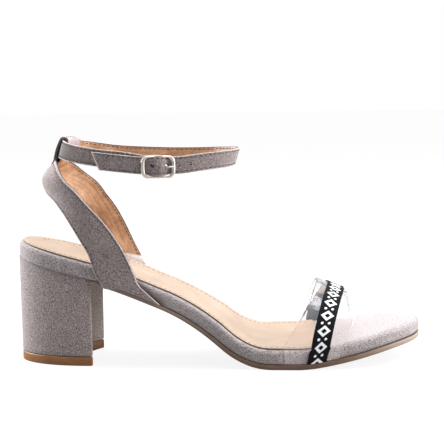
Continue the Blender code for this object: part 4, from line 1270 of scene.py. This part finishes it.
def makeAnkleStrap():
    inset, pitch = ankle["stitchInset"], ankle["stitchPitch"]
    strip = Strip(ankleSurface, 0.0, 1.0, ankle["thickness"], (0.05, 0, 0.115), 0.00045,
                  crown=0.10, grooves=(inset,))
    run = (strapStart - strapEnd) * girth
    bar = buckle["place"] - 1
    holes = []
    for step, size in ((0, buckle["prongHole"]), (-1, buckle["hole"]), (-2, buckle["hole"]),
                       (1, buckle["hole"]), (2, buckle["hole"])):
        turns = bar + (buckle["prongPlace"] + step * buckle["pitch"]) / girth
        holes.append((strapShare(turns), size / 2))
    # even stations, four more at the tip and finer ones where the holes are
    holeBand = ankle["holeBand"] / run
    mid = strapShare(bar + buckle["prongPlace"] / girth)
    atTip = 1 - np.array([0.0016, 0.0012, 0.0008, 0]) / run
    coarse = np.concatenate([np.linspace(0, 1 - 0.002 / run, 330), atTip])
    coarse = coarse[np.abs(coarse - mid) > holeBand]
    fine = mid + np.linspace(-holeBand, holeBand, 129)
    stations = withEnds(np.sort(np.concatenate([coarse, fine])), 0.0004 / run)
    loop = stripLoop(29, 13, seam=0.42, layered=True)
    # slot 3, the holes' walls, is near black as painted shade
    piece = meshFrom("ankleStrap", punched(strip, stations, loop, holes, run),
                     [strapSuede, cutEdge, tanLining, darkEdge, darkEdge])
    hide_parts("ankle_strap")
    # painted shade: the nap beside the loop is darkened
    beside = sling["loopWidth"] / 2 / girth
    across = np.linspace(-0.5, 0.5, 9) * ankle["strapWidth"]
    line = anklePoint(np.full(9, beside + ankle["shadePlace"]), 0.001, across)
    paintShadeBeside(piece, [(line, *ankle["shadeLoop"])])
    share = inset / ankle["strapWidth"]
    runs = []
    for face in (1.0, 0.0):
        for v in (share, 1 - share):
            runs.append(stitchRun(strip, v, ankle["stitchSpan"], pitch, stitch["ankleLength"],
                                  face))
    makeStitches("ankleStitches", runs, darkThread)


# the fold of the sling strap over the ankle strap
fold = dict(
    # rows where the inner leaf grows wider and where it is as narrow again, each with its stretch
    wider=0.0062, widerFrom=(4.5, 4.0), narrowFrom=(9.5, 2.0),
    # rows where the leaf and the lining start, and between which the edge is dark
    innerFrom=5, leafFrom=7.6, liningFrom=11.4, darkEdge=(1.2, 9.5),
    # outwards as a share of the leaf's reach, up as a share of half the strap's width
    rows=np.array([(1.60, -2.05), (1.28, -1.45), (1.36, -0.90), (1.40, -0.10), (1.10, 0.85),
                   (0.80, 1.14), (0.28, 1.24), (-0.28, 1.24), (-0.80, 1.14), (-1.00, 0.92),
                   (-1.00, 0.00), (-1.00, -1.00), (-0.62, -1.50), (0.45, -2.10), (1.70, -2.46)]))


def foldSurface(s, v):
    reach = ankle["thickness"] / 2 + sole["gap"] + sling["loopThickness"] / 2
    knots = np.arange(len(fold["rows"]), dtype=float)
    out = smoothAt(s, knots, fold["rows"][:, 0]) * reach
    up = smoothAt(s, knots, fold["rows"][:, 1]) * ankle["strapWidth"] / 2
    # the inner leaf is cut a little wider than the outer one
    (start, over), (stop, away) = fold["widerFrom"], fold["narrowFrom"]
    grown = fold["wider"] * easeIn((s - start) / over) * (1 - easeIn((s - stop) / away))
    wide, shift = sling["loopWidth"] + grown, sling["loopShift"] + grown / 2
    return anklePoint(((v - 0.5) * wide - shift) / girth, out, up)


def makeFold():
    last = len(fold["rows"]) - 1.0
    middle = anklePoint(np.array(0.0), 0.0, 0.0)
    strip = Strip(foldSurface, 0.0, last, sling["loopThickness"], middle, 0.0004, centred=True)
    stations = withEnds(np.linspace(0, last, 113), 0.05)
    loop = stripLoop(25, 9)
    patches = strip.patches(stations, loop)
    # outer leaf of suede, inner leaf pale where it is skived, then the tan lining that it ends in
    s, face = stations[1:, None], loop[3][None, :] != 1
    faces = np.where(s > fold["liningFrom"], 3, np.where(s > fold["leafFrom"], 2, 0))
    first, stop = fold["darkEdge"]
    edges = np.where((s > first) & (s < stop), 1, np.where(s < fold["innerFrom"], 0, 3))
    patches[0]["slots"] = np.where(face, faces, edges)
    piece = meshFrom("backLoop", patches, [strapSuede, foldEdge, leafSuede, tanLining])
    paintShadeBeside(piece, [])


makeSling()
makeAnkleStrap()
makeFold()
print("straps made")


# the clear toe band and its ribbon
band = dict(
    top=0.0446, topPlace=0.146, fall=0.40, thickness=0.0009, roundness=2.2, wall=0.28,
    ribbonWidth=0.0100, ribbonThickness=0.0006, inside=(0.145, 0.004, 0.010),
    # round the arch from the outer foot to the inner one, rear edge, front edge, ribbon
    rows=np.array([(-1.00, 0.652, 0.790, 0.7345), (-0.72, 0.655, 0.800, 0.7440),
                   (-0.56, 0.689, 0.820, 0.7548), (-0.40, 0.714, 0.830, 0.7660),
                   (-0.26, 0.727, 0.822, 0.7750), (0.00, 0.742, 0.817, 0.7885),
                   (0.40, 0.733, 0.828, 0.7770), (0.72, 0.710, 0.836, 0.7440),
                   (1.00, 0.706, 0.830, 0.7390)]))


def bandPoint(arch, x):
    # a rounded arch over the toes from rim to rim, then straight down beside the board
    wall = np.clip((np.abs(arch) - (1 - band["wall"])) / band["wall"], 0, 1)
    turn = np.clip(arch / (1 - band["wall"]), -1, 1) * math.pi / 2
    power = 2 / band["roundness"]
    outer = sideWidth(shareOf(x), 1) - sole["inset"] + sole["gap"]
    inner = sideWidth(shareOf(x), 2) - sole["inset"] + sole["gap"]
    rim, foot = boardTop(x), layerHeight(x, sole["gap"])
    top = band["top"] - band["fall"] * (x - band["topPlace"]) - band["thickness"]
    y = (inner - outer) / 2 + (inner + outer) / 2 * np.sign(turn) * np.abs(np.sin(turn)) ** power
    z = rim + (top - rim) * np.abs(np.cos(turn)) ** power
    return np.stack([x, y, np.where(wall > 0, rim + (foot - rim) * wall, z)], -1)


def bandSurface(s, v):
    rear = placeAlong(smoothAt(s, band["rows"][:, 0], band["rows"][:, 1]))
    front = placeAlong(smoothAt(s, band["rows"][:, 0], band["rows"][:, 2]))
    return bandPoint(s, rear + (front - rear) * v)


def ribbonSurface(s, v):
    # the ribbon follows the band's outside; its width is kept square to its own run
    def middleX(at):
        return placeAlong(smoothAt(at, band["rows"][:, 0], band["rows"][:, 3]))

    x = middleX(s)
    run = unit(bandPoint(s + 0.004, middleX(s + 0.004)) - bandPoint(s - 0.004, middleX(s - 0.004)))
    forward = (bandPoint(s, x + 0.0003) - bandPoint(s, x)) / 0.0003
    spread = np.linalg.norm(np.cross(forward, run), axis=-1)
    at = x + (v - 0.5) * band["ribbonWidth"] / spread
    base = bandPoint(s, at)
    over = bandPoint(s, at + 0.0003) - bandPoint(s, at - 0.0003)
    along = bandPoint(s + 0.004, at) - bandPoint(s - 0.004, at)
    normal = unit(np.cross(along, over))
    outward = np.sum(normal * (base - np.array(band["inside"])), axis=-1, keepdims=True)
    normal = normal * np.sign(outward)
    return base + normal * (band["thickness"] + sole["gap"])


def makeToeBand():
    # the clear band is one material all through, its edges too
    strip = Strip(bandSurface, -1.0, 1.0, band["thickness"], band["inside"], 0.0003)
    stations = withEnds(np.linspace(-1, 1, 161), 0.004)
    patches = strip.patches(stations, stripLoop(33, 7, 0.7, -1.0))
    piece = meshFrom("toeBand", patches, [clearVinyl], 40)
    piece.data.polygons.foreach_set("material_index", np.zeros(len(piece.data.polygons), np.int32))
    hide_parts("toe_band")

    end = 0.995
    strip = Strip(ribbonSurface, -end, end, band["ribbonThickness"], band["inside"], 0.0002)
    stations = withEnds(np.linspace(-end, end, 181), 0.004)
    patches = strip.patches(stations, stripLoop(15, 7, 0.7, -1.0))
    piece = meshFrom("toeRibbon", patches, [wovenRibbon, wovenRibbon, ribbonBack], 40)
    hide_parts("toe_ribbon")


makeToeBand()
print("toe band made")


def bucklePoint(along, out, up):
    # the buckle's own frame: forwards along the strap, outwards and up from its centre bar
    plan, normal = ringAt(np.array(buckle["place"]))
    forward = np.array([-normal[1], normal[0]])
    along, out, up = np.broadcast_arrays(along, out, up)
    flat = plan + forward * along[..., None] + normal * out[..., None]
    height = float(strapHeight(buckle["place"] - 1)) - buckle["hang"]
    return np.concatenate([flat, (height + up)[..., None]], -1)


def rodPatches(path, radiusOut, radiusSide, closed, outward, power=0.8, sides=16,
               tipRound=None, wide=1.0):
    # a rounded section carried along a path: side and out are square to the path's own direction
    tangent = np.gradient(path, axis=0)
    if closed:
        tangent = np.roll(path, -1, axis=0) - np.roll(path, 1, axis=0)
    tangent = unit(tangent)
    side = unit(np.cross(tangent, outward))
    out = unit(np.cross(side, tangent))
    turn = np.linspace(0, 2 * math.pi, sides + 1)
    c = np.sign(np.cos(turn)) * np.abs(np.cos(turn)) ** power
    d = np.sign(np.sin(turn)) * np.abs(np.sin(turn)) ** power
    c[-1], d[-1] = c[0], d[0]
    scale = np.ones(len(path)) if tipRound is None else tipRound
    across = scale * wide
    grid = (path[:, None] + side[:, None] * (radiusSide * c)[None, :, None] * across[:, None, None]
            + out[:, None] * (radiusOut * d)[None, :, None] * scale[:, None, None])
    if closed:
        return [patch(np.concatenate([grid, grid[:1]]))]
    caps = []
    for k in (0, -1):
        ring, centre = grid[k], grid[k, :-1].mean(axis=0)
        caps.append(patch(np.stack([ring, np.broadcast_to(centre, ring.shape)], 1)))
    return [patch(grid)] + caps


def makeBuckle():
    wire, corner = buckle["wire"], buckle["corner"]
    lap = ankle["thickness"] + sole["gap"]
    seat = ankle["thickness"] / 2 + sole["gap"] + wire / 2
    rearOut, frontOut = lap + seat - buckle["rearSink"], seat - buckle["frameSink"]
    halfLength = (buckle["length"] - wire) / 2 - buckle["tighter"][0]
    halfHeight = ankle["strapWidth"] / 2 + sole["gap"] + wire / 2 - buckle["tighter"][1]

    def frameOut(along):
        # the frame lies on the lap at its rear end and on the single strap at its front end
        return rearOut + (frontOut - rearOut) * (along + halfLength) / (2 * halfLength)

    # rounded rectangle: four quarter circles joined by straight runs
    angle = np.linspace(0, math.pi / 2, 12)
    along, up = [], []
    for k, (a, b) in enumerate(((1, 1), (-1, 1), (-1, -1), (1, -1))):
        along.append(a * (halfLength - corner) + corner * np.cos(angle + k * math.pi / 2))
        up.append(b * (halfHeight - corner) + corner * np.sin(angle + k * math.pi / 2))
    along, up = np.concatenate(along), np.concatenate(up)
    shut = np.stack([np.append(along, along[0]), np.append(up, up[0])], 1)
    run = runLength(shut)
    along, up = alongRun(np.linspace(0, run[-1], 121)[:-1], run, shut).T
    normal = np.append(ringAt(np.array(buckle["place"]))[1], 0.0)
    loop = bucklePoint(along, frameOut(along), up)
    # cast frame: broad at its two short sides, slim along the strap
    atEnd = easeIn((np.abs(along) - halfLength + 1.1 * corner) / corner)
    wide = buckle["slim"] + buckle["broad"] * atEnd
    patches = rodPatches(loop, wire * 0.50, wire * 0.52, True, normal, 0.80, 20, wide=wide)
    rail, bend = frameOut(0.0), wire * 0.6
    # the bar runs in from one rail, bends, goes straight through the lap and out to the other
    half = [(rail, halfHeight), (bend * 1.3, halfHeight), (bend * 0.3, halfHeight - bend * 0.3),
            (0.0, halfHeight - bend * 1.4)]
    rows = np.array([(out, -up) for out, up in half] + [(0.0, 0.0)] + half[::-1])
    t = np.linspace(0, len(rows) - 1, 49)
    knots = np.arange(len(rows), dtype=float)
    bar = bucklePoint(0.0, smoothAt(t, knots, rows[:, 0]), smoothAt(t, knots, rows[:, 1]))
    forward = np.cross(normal, np.array([0.0, 0.0, 1.0]))
    barRadius = wire * buckle["barShare"] / 2
    patches += rodPatches(bar, barRadius, barRadius, False, forward, 1.0)
    piece = meshFrom("buckleFrame", patches, [plated], 60)
    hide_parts("buckle_frame")

    rod, hole = buckle["prong"], buckle["prongPlace"]
    over = frontOut + wire / 2 + sole["gap"] + rod / 2
    start = wire / 2 + sole["gap"] + rod / 2
    # along and outwards: inside the lap from the bar, up through the hole, over to the frame
    rows = np.array([(start, -0.7 * rod), (hole - 1.6 * rod, -0.7 * rod),
                     (hole - 0.6 * rod, -0.5 * rod), (hole - 0.1 * rod, 0.2 * rod),
                     (hole + 0.2 * rod, 1.2 * rod),
                     (hole + 0.7 * rod, over - 0.4 * rod), (hole + 1.5 * rod, over),
                     (halfLength, over), (halfLength + 0.9 * rod, over - 0.1 * rod)])
    run = runLength(rows)
    t = np.linspace(0, run[-1], 61)
    path = bucklePoint(smoothAt(t, run, rows[:, 0]), smoothAt(t, run, rows[:, 1]), 0.0)
    before, radius = buckle["tipRound"]
    tip = np.sqrt(np.clip(1 - ((t - run[-1] + before) / radius).clip(0, 1) ** 2, 0.02, 1))
    upward = np.array([0.0, 0.0, 1.0])
    patches = rodPatches(path, rod / 2, rod / 2, False, upward, 1.0, 14, tip)
    piece = meshFrom("bucklePin", patches, [plated], 60)
    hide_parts("buckle_prong")


makeBuckle()
print("buckle made")


# floor, world and lamps
studio = dict(
    half=6.0, floor=(0.93, 0.93, 0.93, 1.0), bounce=(0.30, 0.30, 0.30, 1.0), lift=0.88,
    # world: an even strength, and how much the direction's x, y and z add to it
    even=0.72, ahead=(0.18, 0.46, 0.25),
    # name, place, aim, size, power, colour
    lamps=(("topLamp", (0.10, 0.25, 1.10), (0.09, 0.0, 0.05), 1.1, 13.0, (1.0, 1.0, 1.0)),
           ("backLamp", (-0.85, 0.22, 0.50), (0.0, 0.0, 0.06), 0.5, 16.0, (1.0, 1.0, 1.0)),
           ("toeLamp", (0.85, 0.10, 0.60), (0.18, 0.0, 0.02), 0.5, 6.5, (0.90, 0.97, 1.0)),
           ("sideLamp", (0.55, -0.14, 0.15), (0.10, 0.0, 0.03), 0.25, 1.7, (1.0, 0.97, 0.94))))


def seenStraight(tree):
    # 1 where the camera looks at it, also through the clear band, and 0 for light that bounces
    path = addNode(tree, "ShaderNodeLightPath").outputs
    return calc(tree, "MAXIMUM", path["Is Camera Ray"], path["Is Transmission Ray"])


def paleFloor():
    # seen straight it is nearly white with a faint shadow, and it sends little light back up
    material, tree, shader, position = newMaterial(
        "paleFloor", {"Base Color": studio["bounce"], "Roughness": 0.9, "Specular IOR Level": 0.1})
    seen = addNode(tree, "ShaderNodeBsdfDiffuse")
    seen.inputs["Color"].default_value = studio["floor"]
    glow = addNode(tree, "ShaderNodeEmission").outputs[0]
    soft = mixShaders(tree, studio["lift"], seen.outputs[0], glow)
    both = mixShaders(tree, seenStraight(tree), shader.outputs[0], soft)
    joinTo(tree, both, tree.nodes["Material Output"].inputs["Surface"])
    return material


def softWorld():
    # brighter behind, above and towards the toe than in front; plain white to the camera
    world = bpy.data.worlds.new("softWorld")
    world.use_nodes = True
    tree = world.node_tree
    level = studio["even"]
    looking = axesOf(tree, addNode(tree, "ShaderNodeTexCoord").outputs["Generated"])
    for axis, weight in zip(looking, studio["ahead"]):
        level = calc(tree, "MULTIPLY_ADD", axis, weight, level)
    straight = seenStraight(tree)
    clear = calc(tree, "MULTIPLY_ADD", straight, -1.0, 1.0)
    level = calc(tree, "MULTIPLY_ADD", calc(tree, "MAXIMUM", level, 0.05), clear, straight)
    joinTo(tree, level, tree.nodes["Background"].inputs["Strength"])
    tree.nodes["Background"].inputs["Color"].default_value = (1.0, 1.0, 1.0, 1.0)
    return world


def makeStudio():
    half = studio["half"]
    corners = [(-half, -half, 0.0), (half, -half, 0.0), (half, half, 0.0), (-half, half, 0.0)]
    mesh = bpy.data.meshes.new("floor")
    mesh.from_pydata(corners, [], [(0, 1, 2, 3)])
    floor = bpy.data.objects.new("floor", mesh)
    bpy.context.scene.collection.objects.link(floor)
    mesh.materials.append(paleFloor())
    floor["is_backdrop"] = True
    bpy.context.scene.world = softWorld()
    for name, place, aim, size, power, colour in studio["lamps"]:
        data = bpy.data.lights.new(name, "AREA")
        data.shape, data.size, data.energy, data.color = "DISK", size, power, colour
        lamp = bpy.data.objects.new(name, data)
        bpy.context.scene.collection.objects.link(lamp)
        back = unit(np.array(place) - np.array(aim))
        right = unit(np.cross(np.array([0.0, 1.0, 0.01]), back))
        rows = np.eye(4)
        rows[:3, :3] = np.stack([right, np.cross(back, right), back], 1)
        rows[:3, 3] = place
        lamp.matrix_world = Matrix(rows.tolist())
    bpy.context.scene.view_settings.view_transform = "Standard"


makeStudio()
print("studio made")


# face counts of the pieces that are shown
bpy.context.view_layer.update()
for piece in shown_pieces():
    print(piece.name, "faces:", len(piece.data.polygons))
